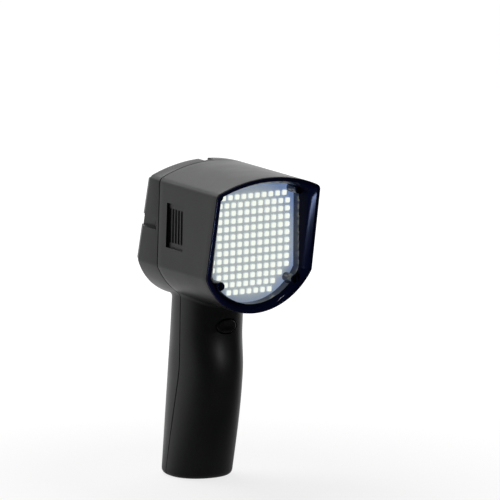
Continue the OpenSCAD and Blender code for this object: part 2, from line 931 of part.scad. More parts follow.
module main_board() color("#2e6b4a") {
    w = board_spots[1].x + board_rim;
    top = board_spots[1].y + board_rim;
    low = board_spots[3].y + board_rim;
    toe = key_pitch + board_toe;
    toe_low = key_row_low - board_toe_down;
    on_face()
        translate([0, 0, -main_z - pcb_t])
            difference() {
                linear_extrude(pcb_t)
                    polygon([[-w, top], [-w, low], [-toe, toe_low], [toe, toe_low], [w, low], [w, top]]);
                for (p = board_spots)
                    translate([p.x, p.y, -past])
                        cylinder(r = small_screw_r + air, h = pcb_t + 2 * past);
            }
}

module lcd_module() color("#9ea096") {
    on_face()
        translate([0, screen_up, -main_z])
            linear_extrude(lcd_t)
                rounded_rect(screen_w + 2 * lcd_border, screen_h + 2 * lcd_border, screen_r / 2);
}

module display_window() color("#c9d2d0", 0.4) {
    on_face()
        translate([0, screen_up, -lcd_z])
            linear_extrude(window_t)
                rounded_rect(window_w, window_h, screen_r);
}

module key_switches() color("#1d1d1f") {
    on_face()
        for (k = key_names)
            key_place(k)
                translate([0, 0, -main_z])
                    switch(switch_h);
}

module board_screws() color("#9a9da2") {
    on_face()
        for (p = board_spots)
            translate([p.x, p.y, -main_z - pcb_t])
                rotate([180, 0, 0])
                    screw(small_screw_r, small_screw_l, small_screw_r * small_head, small_head_h);
}

// Keys seen from behind: left and right are as the user sees them
function key_side(k) =
    k == "upper_left" || k == "lower_left" ? -1 : k == "upper_right" || k == "lower_right" ? 1 : 0;
function key_is_low(k) = k == "lower_left" || k == "lower_middle" || k == "lower_right";
function key_lowest(k) = min([for (p = key_outline(k)) p.y]);
function mirrored(pts) = [for (k = [len(pts) - 1 : -1 : 0]) [-pts[k].x, pts[k].y]];

// Outlines run anticlockwise, drawn for the right-hand side of the pad
function upper_key(clip) =
    [[-key_w / 2, key_h / 2], [-key_w / 2, -key_h / 2], [key_w / 2 - clip, -key_h / 2],
     [key_w / 2, clip - key_h / 2], [key_w / 2, key_h / 2]];
function plain_key() =
    [[-key_w / 2, key_h / 2], [-key_w / 2, -key_h / 2], [key_w / 2, -key_h / 2], [key_w / 2, key_h / 2]];
function shield_key() =
    concat(
        [[key_low_w / 2, key_low_h / 2], [-key_low_w / 2, key_low_h / 2]],
        [for (a = [180 : 20 : 360])
            [key_low_w / 2 * cos(a), shield_point * (1 + sin(a)) - key_low_h / 2]]
    );
function fan_key() =
    concat(
        [[-key_w / 2, fan_top]],
        [for (a = [270 : 15 : 360])
            [fan_toe - key_w / 2 + (key_w - fan_toe) * cos(a),
             fan_top - fan_side + (fan_h - fan_side) * sin(a)]],
        [[key_w / 2, fan_top]]
    );
function key_outline(k) =
    k == "upper_middle" ? plain_key()
    : k == "lower_middle" ? shield_key()
    : k == "upper_right" ? upper_key(key_clip)
    : k == "upper_left" ? mirrored(upper_key(key_clip))
    : k == "lower_right" ? fan_key()
    : mirrored(fan_key());

// A convex outline moved outwards by d
function edge_normal(a, b) = let (v = b - a) [v.y, -v.x] / norm(v);
function grown(pts, d) =
    let (n = len(pts))
    [for (i = [0 : n - 1])
        let (
            before = edge_normal(pts[(i + n - 1) % n], pts[i]),
            after = edge_normal(pts[i], pts[(i + 1) % n])
        )
        pts[i] + d * (before + after) / (1 + before * after)];

// Children placed at a key's centre on the face
module key_place(k) {
    translate([key_side(k) * key_pitch, key_is_low(k) ? key_row_low : key_row_up, 0])
        children();
}

// Flange that holds a key behind the face, cut off level with the key's lower end
module key_flange(k, grow) {
    intersection() {
        polygon(grown(key_outline(k), key_gap + flange_w + grow));
        translate([-key_pitch / 2, key_lowest(k) - grow])
            square(key_pitch);
    }
}

module key(k) color("#4a4b4e") {
    flange_z = -face_wall - fit - flange_t;
    stem_z = switch_h + key_travel + air - main_z;
    on_face()
        key_place(k) {
            translate([0, 0, flange_z])
                linear_extrude(key_proud - flange_z)
                    polygon(key_outline(k));
            translate([0, 0, flange_z])
                linear_extrude(flange_t)
                    key_flange(k, 0);
            translate([0, 0, stem_z])
                cylinder(r = stem_r, h = flange_z - stem_z + joined);
        }
}

module key_upper_left() key("upper_left");
module key_upper_middle() key("upper_middle");
module key_upper_right() key("upper_right");
module key_lower_left() key("lower_left");
module key_lower_middle() key("lower_middle");
module key_lower_right() key("lower_right");

// Trigger

module trigger_button() color("#2c2d30") {
    intersection() {
        along_y(trigger_front - trigger_proud, trigger_stop_y + fit + joined, trigger_z)
            ellipse(trigger_w, trigger_h);
        translate([0, trigger_front - trigger_proud + grip_w / 2, trigger_z - trigger_h])
            cylinder(r = grip_w / 2, h = 2 * trigger_h);
    }
    along_y(trigger_stop_y + fit, trigger_stop_y + fit + trigger_flange, trigger_z)
        intersection() {
            ellipse(trigger_w + 2 * (trigger_gap + trigger_ear) - air, trigger_h + 2 * trigger_gap - air);
            square([trigger_w + 4 * trigger_ear, trigger_h - 1], center = true);
        }
}

module trigger_switch() color("#1d1d1f") {
    translate([0, trigger_board_y, trigger_z])
        rotate([90, 0, 0])
            switch(trigger_switch_h);
}

module trigger_board() color("#2e6b4a") {
    w = trigger_w + 2 * (trigger_gap + trigger_ear + collar_wall);
    low = trigger_z - trigger_room + pillar_r + air;
    high = trigger_z + trigger_h / 2 + trigger_gap + collar_wall;
    translate([-w / 2, trigger_board_y, low])
        cube([w, pcb_t, high - low]);
}

// Battery pack in the grip

module cell_spots() {
    for (a = [90, 210, 330])
        translate([cell_ring * cos(a), pack_y + cell_ring * sin(a), 0])
            children();
}

// Rounded triangle round the three cells
module pack_shape(r) {
    polygon([for (a = [90, 210, 330])
        each arc([cell_ring * cos(a), pack_y + cell_ring * sin(a)], r, a - 60, a + 60, 10)]);
}

module battery_cells() color("#3d6fa8") {
    translate([0, 0, pack_z])
        cell_spots() {
            cylinder(r = cell_r, h = cell_l - nub_h);
            cylinder(r = nub_r, h = cell_l);
        }
}

module battery_sleeve() color("#1f4f86") {
    translate([0, 0, pack_z])
        linear_extrude(cell_l - nub_h)
            difference() {
                pack_shape(cell_r + fit + sleeve_t);
                pack_shape(cell_r + fit);
            }
}

module battery_tray() color("#2a2b2d") {
    difference() {
        translate([0, 0, tray_z])
            linear_extrude(tray_t)
                polygon([for (a = [0 : 10 : 350]) grip_point(tray_z, a, grip_wall + tray_air)]);
        translate([tray_hole.x, tray_hole.y, tray_z - past])
            cylinder(r = tray_hole_r, h = tray_t + 2 * past);
    }
}

module battery_foam() color("#55565a") {
    translate([-foam_w / 2, pack_y - foam_l / 2, foam_z])
        cube([foam_w, foam_l, foam_top - foam_z]);
}

// Sockets and the tripod thread in the foot

module socket(bore_d) {
    difference() {
        union() {
            translate([0, 0, floor_t])
                cylinder(r = socket_body, h = socket_h);
            translate([0, 0, socket_sunk])
                cylinder(r = socket_neck, h = floor_t);
        }
        cylinder(r = bore_d / 2, h = floor_t + socket_h - socket_back);
    }
}

module charging_socket() color("#1c1c1e") {
    translate([socket_x, socket_y, 0])
        socket(charge_d);
}

module sync_socket() color("#1c1c1e") {
    translate([-socket_x, socket_y, 0])
        socket(sync_d);
}

module tripod_insert() color("#b08d4a") {
    difference() {
        cylinder(r = insert_d / 2, h = insert_l);
        translate([0, 0, -past])
            cylinder(r = thread_d / 2, h = insert_l - insert_roof + past);
    }
}

// Screws that close the case

module case_screw(x, z, y, l) {
    translate([x, y, z])
        rotate([-90, 0, 0])
            screw(screw_r, l, head_r, head_h);
}

module head_screws() color("#1b1b1d") {
    for (p = head_spots)
        case_screw(p.x, lamp_z + p.y, seam_y + notch_floor, head_screw_l);
}

module grip_screws() color("#1b1b1d") {
    for (z = grip_screw_zs)
        case_screw(0, z, seam_at(z) + pillar_web, grip_screw_l);
}

// Leads inside the case

// Tube through a list of points, with rings square to the mean direction
module lead_tube(route, r) {
    n = len(route);
    rings = [
        for (i = [0 : n - 1])
            let (
                d = route[min(i + 1, n - 1)] - route[max(i - 1, 0)],
                u = d / norm(d),
                side = abs(u.x) > 0.9 ? [0, 0, 1] : [1, 0, 0],
                a = cross(u, side) / norm(cross(u, side)),
                b = cross(u, a)
            )
            each [for (k = [0 : lead_sides - 1])
                route[i] + r * (cos(360 * k / lead_sides) * a + sin(360 * k / lead_sides) * b)]
    ];
    m = lead_sides;
    sides = [
        for (j = [0 : n - 2], i = [0 : m - 1])
            each quad(j * m + i, j * m + (i + 1) % m, (j + 1) * m + (i + 1) % m, (j + 1) * m + i)
    ];
    ends = concat([[for (i = [m - 1 : -1 : 0]) i]], [[for (i = [0 : m - 1]) (n - 1) * m + i]]);
    polyhedron(rings, flipped(concat(sides, ends), true), convexity = 6);
}

// Rise from p, then a quarter bend and a run forward to the driver board at height z
function rise_and_run(p, z, r) =
    concat(
        [p, [p.x, p.y, (p.z + z - r) / 2]],
        [for (a = [0 : 22.5 : 90]) [p.x, p.y - r * (1 - cos(a)), z - r + r * sin(a)]],
        [[p.x, (p.y - r + driver_back) / 2, z], [p.x, driver_back, z]]
    );

module battery_lead() color("#a32020") {
    start = [cell_ring * cos(30), pack_y - cell_ring / 2, pack_z + cell_l];
    lead_tube(rise_and_run(start, lamp_z - battery_lead_down, lead_bend), lead_r);
}

module socket_lead() color("#303034") {
    lead_tube(
        concat(
            [[socket_x, socket_y, floor_t + socket_h], [socket_x, socket_y, floor_t + socket_h + 1]],
            socket_route,
            rise_and_run([socket_x, 0, chin_z - lead_under], lamp_z - socket_lead_down, lead_bend)
        ),
        lead_r
    );
}

// Run back from the trigger's board, then up, then forward to the driver board
module trigger_lead() color("#c8a020") {
    x = -8;
    up = 4;
    out = 2;
    turn = 4;
    down = 16;
    y = trigger_board_y + pcb_t;
    z = trigger_z + up;
    lead_tube(
        concat(
            [[x, y, z], [x, y + out, z]],
            [for (a = [22.5 : 22.5 : 67.5]) [x, y + out + turn * sin(a), z + turn * (1 - cos(a))]],
            rise_and_run([x, y + out + turn, z + turn], lamp_z - down, 2 * turn)
        ),
        trigger_lead_r
    );
}

module lamp_lead() color("#a32020") {
    lead_tube([for (y = [ledge_y, (ledge_y + driver_y) / 2, driver_y]) [0, y, lamp_lead_z]], lead_r);
}

// Flat ribbon between the driver board and the main board
module display_ribbon() color("#8d8f93") {
    ribbon_w = 14;
    ribbon_t = 0.4;
    z0 = lamp_z - 4;
    z1 = z0 + ribbon_t;
    board_back = face_y - (main_z + pcb_t) / cos(back_tilt);
    translate([-ribbon_w / 2, 0, 0])
        rotate([90, 0, 90])
            linear_extrude(ribbon_w)
                polygon([
                    [driver_back, z0], [plane_y(board_back, back_tilt, z0), z0],
                    [plane_y(board_back, back_tilt, z1), z1], [driver_back, z1]
                ]);
}

front_housing();
rear_housing();
lamp_hood();
led_board();
led_array();
hood_screws();
heat_spreader();
driver_board();
capacitors();
power_inductors();
driver_screws();
main_board();
lcd_module();
display_window();
key_switches();
board_screws();
key_upper_left();
key_upper_middle();
key_upper_right();
key_lower_left();
key_lower_middle();
key_lower_right();
trigger_button();
trigger_switch();
trigger_board();
battery_cells();
battery_sleeve();
battery_tray();
battery_foam();
charging_socket();
sync_socket();
tripod_insert();
head_screws();
grip_screws();
battery_lead();
socket_lead();
trigger_lead();
lamp_lead();
display_ribbon();
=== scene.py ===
"""Looks of a hand-held LED stroboscope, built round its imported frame.

Lengths are in metres, in the frame's own axes: +Z up, the lamp faces -Y and the display faces +Y.
"""

import json
import math

import bpy
import numpy as np
from mathutils import Matrix, Vector


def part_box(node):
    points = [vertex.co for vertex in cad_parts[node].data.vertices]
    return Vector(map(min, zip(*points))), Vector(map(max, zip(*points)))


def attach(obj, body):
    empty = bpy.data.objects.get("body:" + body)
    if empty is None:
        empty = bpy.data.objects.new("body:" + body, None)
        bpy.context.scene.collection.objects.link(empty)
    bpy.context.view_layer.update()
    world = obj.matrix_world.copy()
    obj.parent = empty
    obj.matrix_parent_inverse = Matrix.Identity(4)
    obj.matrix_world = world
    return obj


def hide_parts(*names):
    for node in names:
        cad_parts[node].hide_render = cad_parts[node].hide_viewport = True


bl_info = {
    "name": "LED stroboscope looks",
    "version": (1, 0, 0),
    "blender": (4, 5, 0),
    "location": "View3D > Sidebar > Stroboscope",
    "description": "Builds the housings, hood, lamp, display and keys of a hand-held LED stroboscope",
    "category": "Object",
}

MM = 0.001
CASE = "case"

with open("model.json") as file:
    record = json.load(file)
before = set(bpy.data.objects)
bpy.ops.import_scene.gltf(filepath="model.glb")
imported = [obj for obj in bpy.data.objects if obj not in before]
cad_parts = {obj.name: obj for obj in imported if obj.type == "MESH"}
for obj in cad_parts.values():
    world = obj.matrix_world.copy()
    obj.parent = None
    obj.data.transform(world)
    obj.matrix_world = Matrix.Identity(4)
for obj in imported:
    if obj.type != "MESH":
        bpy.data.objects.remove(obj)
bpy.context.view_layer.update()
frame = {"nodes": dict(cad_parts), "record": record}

# Places that the frame gives
LED_LOW, LED_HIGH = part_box("led_array")
FRONT_LOW, FRONT_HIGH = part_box("front_housing")
TRIGGER_LOW, TRIGGER_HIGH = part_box("trigger_button")
GRIP_SCREWS_LOW, GRIP_SCREWS_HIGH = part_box("grip_screws")
BOARD_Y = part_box("led_board")[0].y
SEAM_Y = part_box("rear_housing")[0].y
LAMP_Y = LED_LOW.y
LAMP_Z = (LED_LOW.z + LED_HIGH.z) / 2
TRIGGER_Z = (TRIGGER_LOW.z + TRIGGER_HIGH.z) / 2
MOUNTS = {mount["name"]: mount for mount in frame["record"]["mounts"]}

# Sizes of bought-in pieces, as the frame has them
LED_SIDE = 3.8 * MM
LED_ROWS = (11, 12, 12, 12, 12, 12, 12, 12, 12, 12, 10, 8, 7)
GRIP_SCREW_R = 2.7 * MM
HOOD_SCREW_R = 2.28 * MM
WINDOW_T = 1.2 * MM
LCD_T = 4.2 * MM
# Wall of the piece that fills each hole in the foot
FOOT_WALLS = {"tripod_thread": 1.875 * MM, "charging_socket": 0.9 * MM, "sync_socket": 1.9 * MM}

# How far a cutter reaches past what it cuts, and a layer too thin to see
PAST = 1 * MM
SKIN = 0.05 * MM


# Properties


def linear(hex_code):
    """Linear colour of an sRGB hex value."""
    srgb = np.array([int(hex_code[k : k + 2], 16) for k in (1, 3, 5)]) / 255
    return tuple(np.where(srgb <= 0.04045, srgb / 12.92, ((srgb + 0.055) / 1.055) ** 2.4))


def number(label, words, value, **kind):
    """A number, with the unit that kind names, if any."""
    return bpy.props.FloatProperty(name=label, description=words, default=value, **kind)


def length(label, words, mm):
    """A length whose default is given in millimetres."""
    return number(label, words, mm * MM, precision=5, unit="LENGTH")


def turn(label, words, degrees):
    """An angle whose default is given in degrees."""
    return number(label, words, math.radians(degrees), unit="ROTATION")


def tint(label, words, hex_code):
    """A colour whose default is an sRGB hex value."""
    return bpy.props.FloatVectorProperty(
        name=label, description=words, default=linear(hex_code), size=3, min=0, max=1, subtype="COLOR"
    )


class HeadSizes(bpy.types.PropertyGroup):
    """Sizes of the lamp head."""

    top_w: length("Top width", "Width across the upper corners", 85.5)
    low_w: length("Lower width", "Width across the lower corners", (FRONT_HIGH.x - FRONT_LOW.x) / MM)
    crown_up: length("Crown", "Crown above the lamp centre", (FRONT_HIGH.z - LAMP_Z) / MM)
    corner_up: length("Upper corners", "Upper corners above the lamp centre", 41)
    corner_down: length("Lower corners", "Lower corners below the lamp centre", 20.2)
    chin_down: length("Chin", "Lowest point below the lamp centre", 48.5)
    corner_r: length("Corner radius", "Radius of the upper corners", 4.5)
    low_r: length("Lower corner radius", "Softness of the lower corners", 5)
    wall: length("Wall", "Thickness of the head's wall", 2.2)
    joint_w: length("Joint", "Half width of the groove along the joint between the housings", 0.35)
    joint_deep: length("Joint depth", "Depth of the groove along the joint between the housings", 0.9)
    edge_r: length("Edge", "Rounding along the joint between the housings", 0.25)
    rim_ahead: length("Rim", "Rim of the hood ahead of the lamp plane", 16.2)
    rim_tilt: turn("Rim lean", "Lean of the rim from upright", 10)
    lip_t: length("Lip thickness", "Thickness of the hood's front lip", 1.4)
    lip_w: length("Lip width", "Width of the lip at the rim", 3)
    lip_in: length("Lip inset", "Lip in from the head's outline", 0.2)
    lip_r: length("Lip edge", "Rounding of the lip's edges", 0.45)
    hood_in: length("Hood opening", "Opening at the lamp plane, in from the outline", 7)
    roof_in: length("Hood roof", "Roof of the opening at the lamp plane, in from the crown", 5.6)
    throat: length("Throat", "Depth of the mirror-like band next to the lamp board", 7)
    hood_wall: length("Hood wall", "Wall of the hood", 1.6)
    flare_from: number("Flare start", "Share of the hood that is straight", 0.66)
    flare_power: number("Flare", "Power of the flare's curve", 1.6)
    polish_after: number("Polish start", "Share of the hood between the flare's start and the polish", 0.1)
    post_r: length("Post radius", "Radius of the hood's screw posts", 3.2)
    post_h: length("Post height", "Screw seats in the posts, ahead of the lamp board", 8)
    post_rim: length("Post rim", "Length of a post ahead of its screw seat", 4)
    post_bore: length("Post bore", "Radius of the bore for a hood screw's head", 2.58)
    post_shaft: length("Post shaft", "Radius of the bore for a hood screw's shaft", 1.25)
    vent_w: length("Vent width", "Width of the vent pocket", 21.4)
    vent_h: length("Vent height", "Height of the vent pocket", 31.5)
    vent_up: length("Vent place", "Vent centre above the lamp centre", 10.25)
    vent_back: length("Vent shift", "Vent centre behind the middle of the front housing's side", 4.6)
    vent_deep: length("Vent depth", "Depth of the vent pocket", 1.8)
    vent_floor: length("Vent floor", "Thickness of the vent pocket's floor", 0.5)
    vent_frame: length("Vent frame", "Wall round the vent pocket", 2)
    # Painted shade: a dark sheet behind each vent stands in for the dark inside of its slots
    shade_sheet_t: length("Gauze", "Thickness of the dust gauze behind a vent", 0.4)
    slots_back: length("Slot shift", "Slots behind the middle of their pocket", 1.1)
    slot_w: length("Slot width", "Width of one vent slot", 2.4)
    slot_draft: length("Slot draft", "Widening of a slot towards the inside", 0.5)
    slot_h: length("Slot height", "Height of one vent slot", 24)
    slot_pitch: length("Slot pitch", "Distance between vent slots", 3.6)
    slots: bpy.props.IntProperty(name="Slots", description="Slots in one vent", default=5, min=1)


class FaceSizes(bpy.types.PropertyGroup):
    """Sizes of the rear housing's display face."""

    edge_y: length("Rear edge", "Rear edge of the head at lamp height", 15.7)
    step: length("Face step", "Display face behind the rear edge", 7.4)
    inset: length("Face inset", "Display face in from the head's outline", 4.2)
    shoulder: length("Shoulder", "Foot of the face's wall in from the outline", 1.4)
    groove: length("Groove", "Depth of the groove at the foot of the face's wall", 0.5)
    edge_r: length("Edge", "Rounding of the rear edge and of the face", 1.1)
    tilt: turn("Face lean", "Lean of the display face from upright", 11.3)
    wall: length("Face thickness", "Thickness of the display face", 2.4)
    screen_w: length("Screen width", "Width of the visible screen", 53.4)
    screen_h: length("Screen height", "Height of the visible screen", 29.3)
    screen_up: length("Screen place", "Screen centre above the lamp centre", 8.9)
    recess: length("Recess depth", "Depth of the screen's recess", 5.9)
    flare: length("Recess flare", "Widening of the recess at its mouth", 5.2)
    lip: length("Recess floor", "Thickness of the recess's floor", 1.2)
    well_wall: length("Recess wall", "Wall round the recess", 1.8)
    screen_r: length("Screen corner", "Corner radius of the screen", 2)
    mouth_r: length("Mouth corner", "Corner radius of the recess's mouth", 3)
    notch_w: length("Notch width", "Width of a screw notch", 8)
    notch_deep: length("Notch depth", "Depth of a screw notch", 5.6)
    notch_floor: length("Notch floor", "Thickness of a notch's floor", 3)
    notch_up: length("Notch place", "Side notches above the lamp centre", 8.7)
    notch_wall: length("Notch wall", "Wall round a notch", 2)
    key_gap: length("Key gap", "Gap round a key", 0.9)
    key_pitch: length("Key pitch", "Distance between the key columns", 15.3)
    key_w: length("Key width", "Width of a key", 7.8)
    key_h: length("Key height", "Height of an upper key", 6.6)
    key_clip: length("Key clip", "Cut corner of an outer key", 2.4)
    key_proud: length("Key height over face", "Key over the face", 0.7)
    row_up: length("Upper row", "Upper keys from the lamp centre", -22.2)
    row_low: length("Lower row", "Lower keys from the lamp centre", -35.5)


class GripSizes(bpy.types.PropertyGroup):
    """Sizes of the pistol grip."""

    width: length("Width", "Width of the grip", 48)
    wall: length("Wall", "Wall of the grip", 2.4)
    square: number("Squareness", "Power of the section's curve", 2.15)
    mid_y: length("Widest line", "Widest line behind the thread, at the foot", 5.2)
    mid_lean: turn("Widest lean", "Lean of the widest line", 3.8)
    back_y: length("Back", "Back behind the thread, at the foot", 32)
    back_lean: turn("Back lean", "Lean of the back", 4.9)
    fore_foot: length("Foot depth", "Depth ahead of the widest line at the foot", 21.4)
    fore_swell: length("Swell depth", "Depth ahead of the widest line at the swell", 32.6)
    fore_top: length("Top depth", "Depth ahead of the widest line at the trigger", 27)
    swell_z: length("Swell height", "Height of the palm swell", 75.5)
    swell_run: length("Swell run", "Length over which the swell dies out", 34)
    foot_r: length("Foot edge", "Radius of the foot's edge", 4)
    blend_r: length("Neck blend", "Radius between grip and head", 2.4)
    floor_t: length("Foot thickness", "Thickness of the foot", 2.6)
    passage_r: length("Passage", "Radius of the way from the grip into the head", 16)
    seam_bend_z: length("Seam bend", "Height where the seam bends back", 85.6)
    seam_soft: length("Seam softness", "Length of the seam's bend", 16)
    seam_lean: turn("Seam lean", "Lean of the lower seam", 11.6)
    seam_w: length("Seam width", "Half width of the groove along the seam", 0.45)
    seam_deep: length("Seam depth", "Depth of the groove along the seam", 0.8)
    trigger_w: length("Trigger width", "Width of the trigger", 16)
    trigger_h: length("Trigger height", "Height of the trigger", 10)
    trigger_gap: length("Trigger gap", "Gap round the trigger", 0.75)
    trigger_dish: length("Trigger dish", "Depth of the trigger's finger dish", 0.7)
    trigger_edge: length("Trigger edge", "Drop of the trigger's face at its edge", 0.9)
    screw_r: length("Screw hole", "Radius of the rear screw holes", 2.8)
    pillar_r: length("Screw pillar", "Radius of the pillars round the screw holes", 4.2)


class Finishes(bpy.types.PropertyGroup):
    """Colours of the visible materials."""

    case: tint("Case", "Charcoal of the two housings", "#262728")
    case_dust: tint("Case highlights", "Lighter rubbed charcoal", "#2d2e30")
    keys: tint("Keys", "Charcoal of the keys", "#3a3b3d")
    trigger: tint("Trigger", "Charcoal of the trigger", "#18191a")
    bezel: tint("Bezel", "Black of the screen's recess", "#0c0c0d")
    hood: tint("Hood", "Navy black of the hood", "#030309")
    board: tint("Lamp board", "White solder mask", "#c8d0d1")
    led: tint("LED", "LED package", "#f6fcf8")
    screen: tint("Screen", "Pale grey-green of the screen", "#a6a9a0")
    ink: tint("Screen ink", "Dark of the screen's marks", "#15161a")
    floor: tint("Floor", "Shade of the floor's paper in the light that it throws back", "#808080")


class ViewSizes(bpy.types.PropertyGroup):
    """Place of the camera and of the stage."""

    azimuth: turn("Azimuth", "Turn of the view round the object", -33.51)
    elevation: turn("Elevation", "Height of the view above the horizon", 10.42)
    roll: turn("Roll", "Roll of the camera", 1.02)
    distance: length("Distance", "Camera to lamp centre", 15000)
    lens: number("Lens", "Focal length in millimetres", 1554.3)
    aim_right: length("Aim right", "View centre to the left of the lamp centre", 0.125)
    aim_up: length("Aim up", "View centre below the lamp centre", 4.6)
    floor_side: length("Floor", "Side of the floor", 6000)


# Meshes


def grid_faces(rows, cols, wrap_rows=False, wrap_cols=False):
    """Quads between neighbours of a grid of rows by cols points."""
    r = np.arange(rows if wrap_rows else rows - 1)[:, None]
    c = np.arange(cols if wrap_cols else cols - 1)[None, :]
    below, beside = (r + 1) % rows, (c + 1) % cols
    corners = [r * cols + c, r * cols + beside, below * cols + beside, below * cols + c]
    return np.stack(corners, -1).reshape(-1, 4)


def signed_volume(points, quads):
    """Volume inside quads, which is negative where they face inwards."""
    a, b, c, d = (points[quads[:, k]] for k in range(4))
    sixths = np.einsum("ij,ij->i", a, np.cross(b, c)) + np.einsum("ij,ij->i", a, np.cross(c, d))
    return sixths.sum() / 6


def coordinates(mesh):
    """Places of a mesh's points."""
    flat = np.empty(len(mesh.vertices) * 3)
    mesh.vertices.foreach_get("co", flat)
    return flat.reshape(-1, 3)


def middles(mesh):
    """Middles of a mesh's faces."""
    flat = np.empty(len(mesh.polygons) * 3)
    mesh.polygons.foreach_get("center", flat)
    return flat.reshape(-1, 3)


def corners_of(mesh, first=0):
    """Corners of each face, as numbers of points counted from first."""
    corners = np.empty(len(mesh.loops), np.int32)
    mesh.loops.foreach_get("vertex_index", corners)
    starts = np.empty(len(mesh.polygons), np.int32)
    mesh.polygons.foreach_get("loop_start", starts)
    return [face.tolist() for face in np.split(corners + first, starts[1:])]


def linked(name, data):
    """An object at the origin, in the scene."""
    thing = bpy.data.objects.new(name, data)
    bpy.context.scene.collection.objects.link(thing)
    return thing


def placed(name, points, faces):
    """Mesh object from points and lists of corners."""
    mesh = bpy.data.meshes.new(name)
    mesh.from_pydata(points.tolist(), [], faces)
    mesh.update()
    return linked(name, mesh)


def new_object(name, points, quads, caps=()):
    """Object from points, quads and larger caps, with its faces turned outwards.

    For the volume that tells the side, each cap counts as a fan from its first corner.
    """
    fans = [np.stack([np.full(len(cap) - 2, cap[0]), cap[1:-1], cap[2:], cap[2:]], -1) for cap in caps]
    if signed_volume(points, np.concatenate([quads, *fans])) < 0:
        quads = quads[:, ::-1]
        caps = [cap[::-1] for cap in caps]
    return placed(name, points, quads.tolist() + [cap.tolist() for cap in caps])


def ring_solid(name, grid):
    """Closed band: a closed profile carried round a closed path. The grid's rows run along the profile."""
    rows, cols = grid.shape[:2]
    return new_object(name, grid.reshape(-1, 3), grid_faces(rows, cols, True, True))


def capped_solid(name, grid):
    """Closed loft through the grid's rows, each a closed ring, with flat caps on the first and last."""
    rows, cols = grid.shape[:2]
    first = np.arange(cols)[::-1]
    last = (rows - 1) * cols + np.arange(cols)
    return new_object(name, grid.reshape(-1, 3), grid_faces(rows, cols, False, True), [first, last])


def sheet_solid(name, outer, inner):
    """Closed wall between two like grids, joined along their four edges."""
    rows, cols = outer.shape[:2]
    count = rows * cols
    skin = grid_faces(rows, cols)
    index = np.arange(count).reshape(rows, cols)
    loop = np.concatenate([index[0, :-1], index[:-1, -1], index[-1, :0:-1], index[:0:-1, 0]])
    ahead = np.roll(loop, -1)
    rim = np.stack([ahead, loop, loop + count, ahead + count], -1)
    points = np.concatenate([outer.reshape(-1, 3), inner.reshape(-1, 3)])
    return new_object(name, points, np.concatenate([skin, skin[:, ::-1] + count, rim]))


def joined(name, pieces):
    """One object with the meshes of several that don't touch."""
    points, faces = [], []
    for piece in pieces:
        faces += corners_of(piece.data, sum(map(len, points)))
        points.append(coordinates(piece.data))
        bpy.data.objects.remove(piece)
    return placed(name, np.concatenate(points), faces)


def shaped(piece, operation, *tools):
    """Applies one boolean per tool to the piece, and removes the tools."""
    for tool in tools:
        step = piece.modifiers.new(tool.name, "BOOLEAN")
        step.operation = operation
        step.solver = "MANIFOLD"
        step.object = tool
    bpy.context.view_layer.update()
    made = piece.evaluated_get(bpy.context.evaluated_depsgraph_get())
    mesh = bpy.data.meshes.new_from_object(made)
    if len(mesh.polygons) == 0:
        raise RuntimeError("nothing is left of " + piece.name)
    piece.modifiers.clear()
    piece.data = mesh
    for tool in tools:
        bpy.data.objects.remove(tool)
    return piece


def dressed(piece, material, body=CASE, crease=32.0):
    """Gives a piece its finish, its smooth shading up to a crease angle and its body."""
    piece.data.materials.clear()
    piece.data.materials.append(material)
    if crease:
        piece.data.shade_smooth()
        piece.data.set_sharp_from_angle(angle=math.radians(crease))
    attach(piece, body)
    return piece


def zoned(piece, zone, *materials):
    """Gives each face the finish that its zone names: 0 for the piece's own, 1 and on for the added ones."""
    for material in materials:
        piece.data.materials.append(material)
    piece.data.polygons.foreach_set("material_index", zone.astype(np.int32))


# Outlines


def arc(centre, radius, start, end, count):
    """Points (x, z) along a circle from one angle to another, without the last."""
    a = np.linspace(start, end, count, endpoint=False)
    return np.column_stack([centre[0] + radius * np.cos(a), centre[1] + radius * np.sin(a)])


def chin_radius():
    """Radius of the arc under the head, from its width and drop."""
    h = bpy.context.scene.strobe_head
    drop = h.chin_down - h.corner_down
    return ((h.low_w / 2) ** 2 + drop**2) / (2 * drop)


def head_outline(inset):
    """Points (x, z) of the head's outline about the lamp centre, moved inwards by inset.

    A crown arc, a corner arc, a straight side, a soft lower corner and a chin arc, then the mirror image.
    """
    h = bpy.context.scene.strobe_head
    least_r = 0.8 * MM
    rise = h.crown_up - h.corner_up
    crown_r = ((h.top_w / 2) ** 2 + rise**2) / (2 * rise)
    chin_r = chin_radius()
    crown, chin = np.array([0, h.crown_up - crown_r]), np.array([0, chin_r - h.chin_down])
    lean = math.atan((h.low_w - h.top_w) / 2 / (h.corner_up + h.corner_down))
    out, along = np.array([math.cos(lean), math.sin(lean)]), np.array([-math.sin(lean), math.cos(lean)])
    reach = out @ np.array([h.top_w / 2, h.corner_up])

    def fillet(centre, big_r, r, sign):
        """Centre of a circle of radius r that lies inside both the side and the arc."""
        k = reach - inset - r - out @ centre
        return centre + k * out + sign * math.sqrt((big_r - inset - r) ** 2 - k * k) * along

    r_up, r_low = max(h.corner_r - inset, least_r), max(h.low_r - inset, least_r)
    up, low = fillet(crown, crown_r, r_up, 1), fillet(chin, chin_r, r_low, -1)
    up_turn, low_turn = math.atan2(*(up - crown)[::-1]), math.atan2(*(low - chin)[::-1])
    share = np.linspace(0, 1, 24, endpoint=False)[:, None]
    half = np.concatenate(
        [
            arc(crown, crown_r - inset, math.pi / 2, up_turn, 30),
            arc(up, r_up, up_turn, lean, 10),
            (up + r_up * out) * (1 - share) + (low + r_low * out) * share,
            arc(low, r_low, lean, low_turn, 8),
            arc(chin, chin_r - inset, low_turn, -math.pi / 2, 40),
            [[0, chin[1] - chin_r + inset]],
        ]
    )
    return np.concatenate([half, half[-2:0:-1] * [-1, 1]])


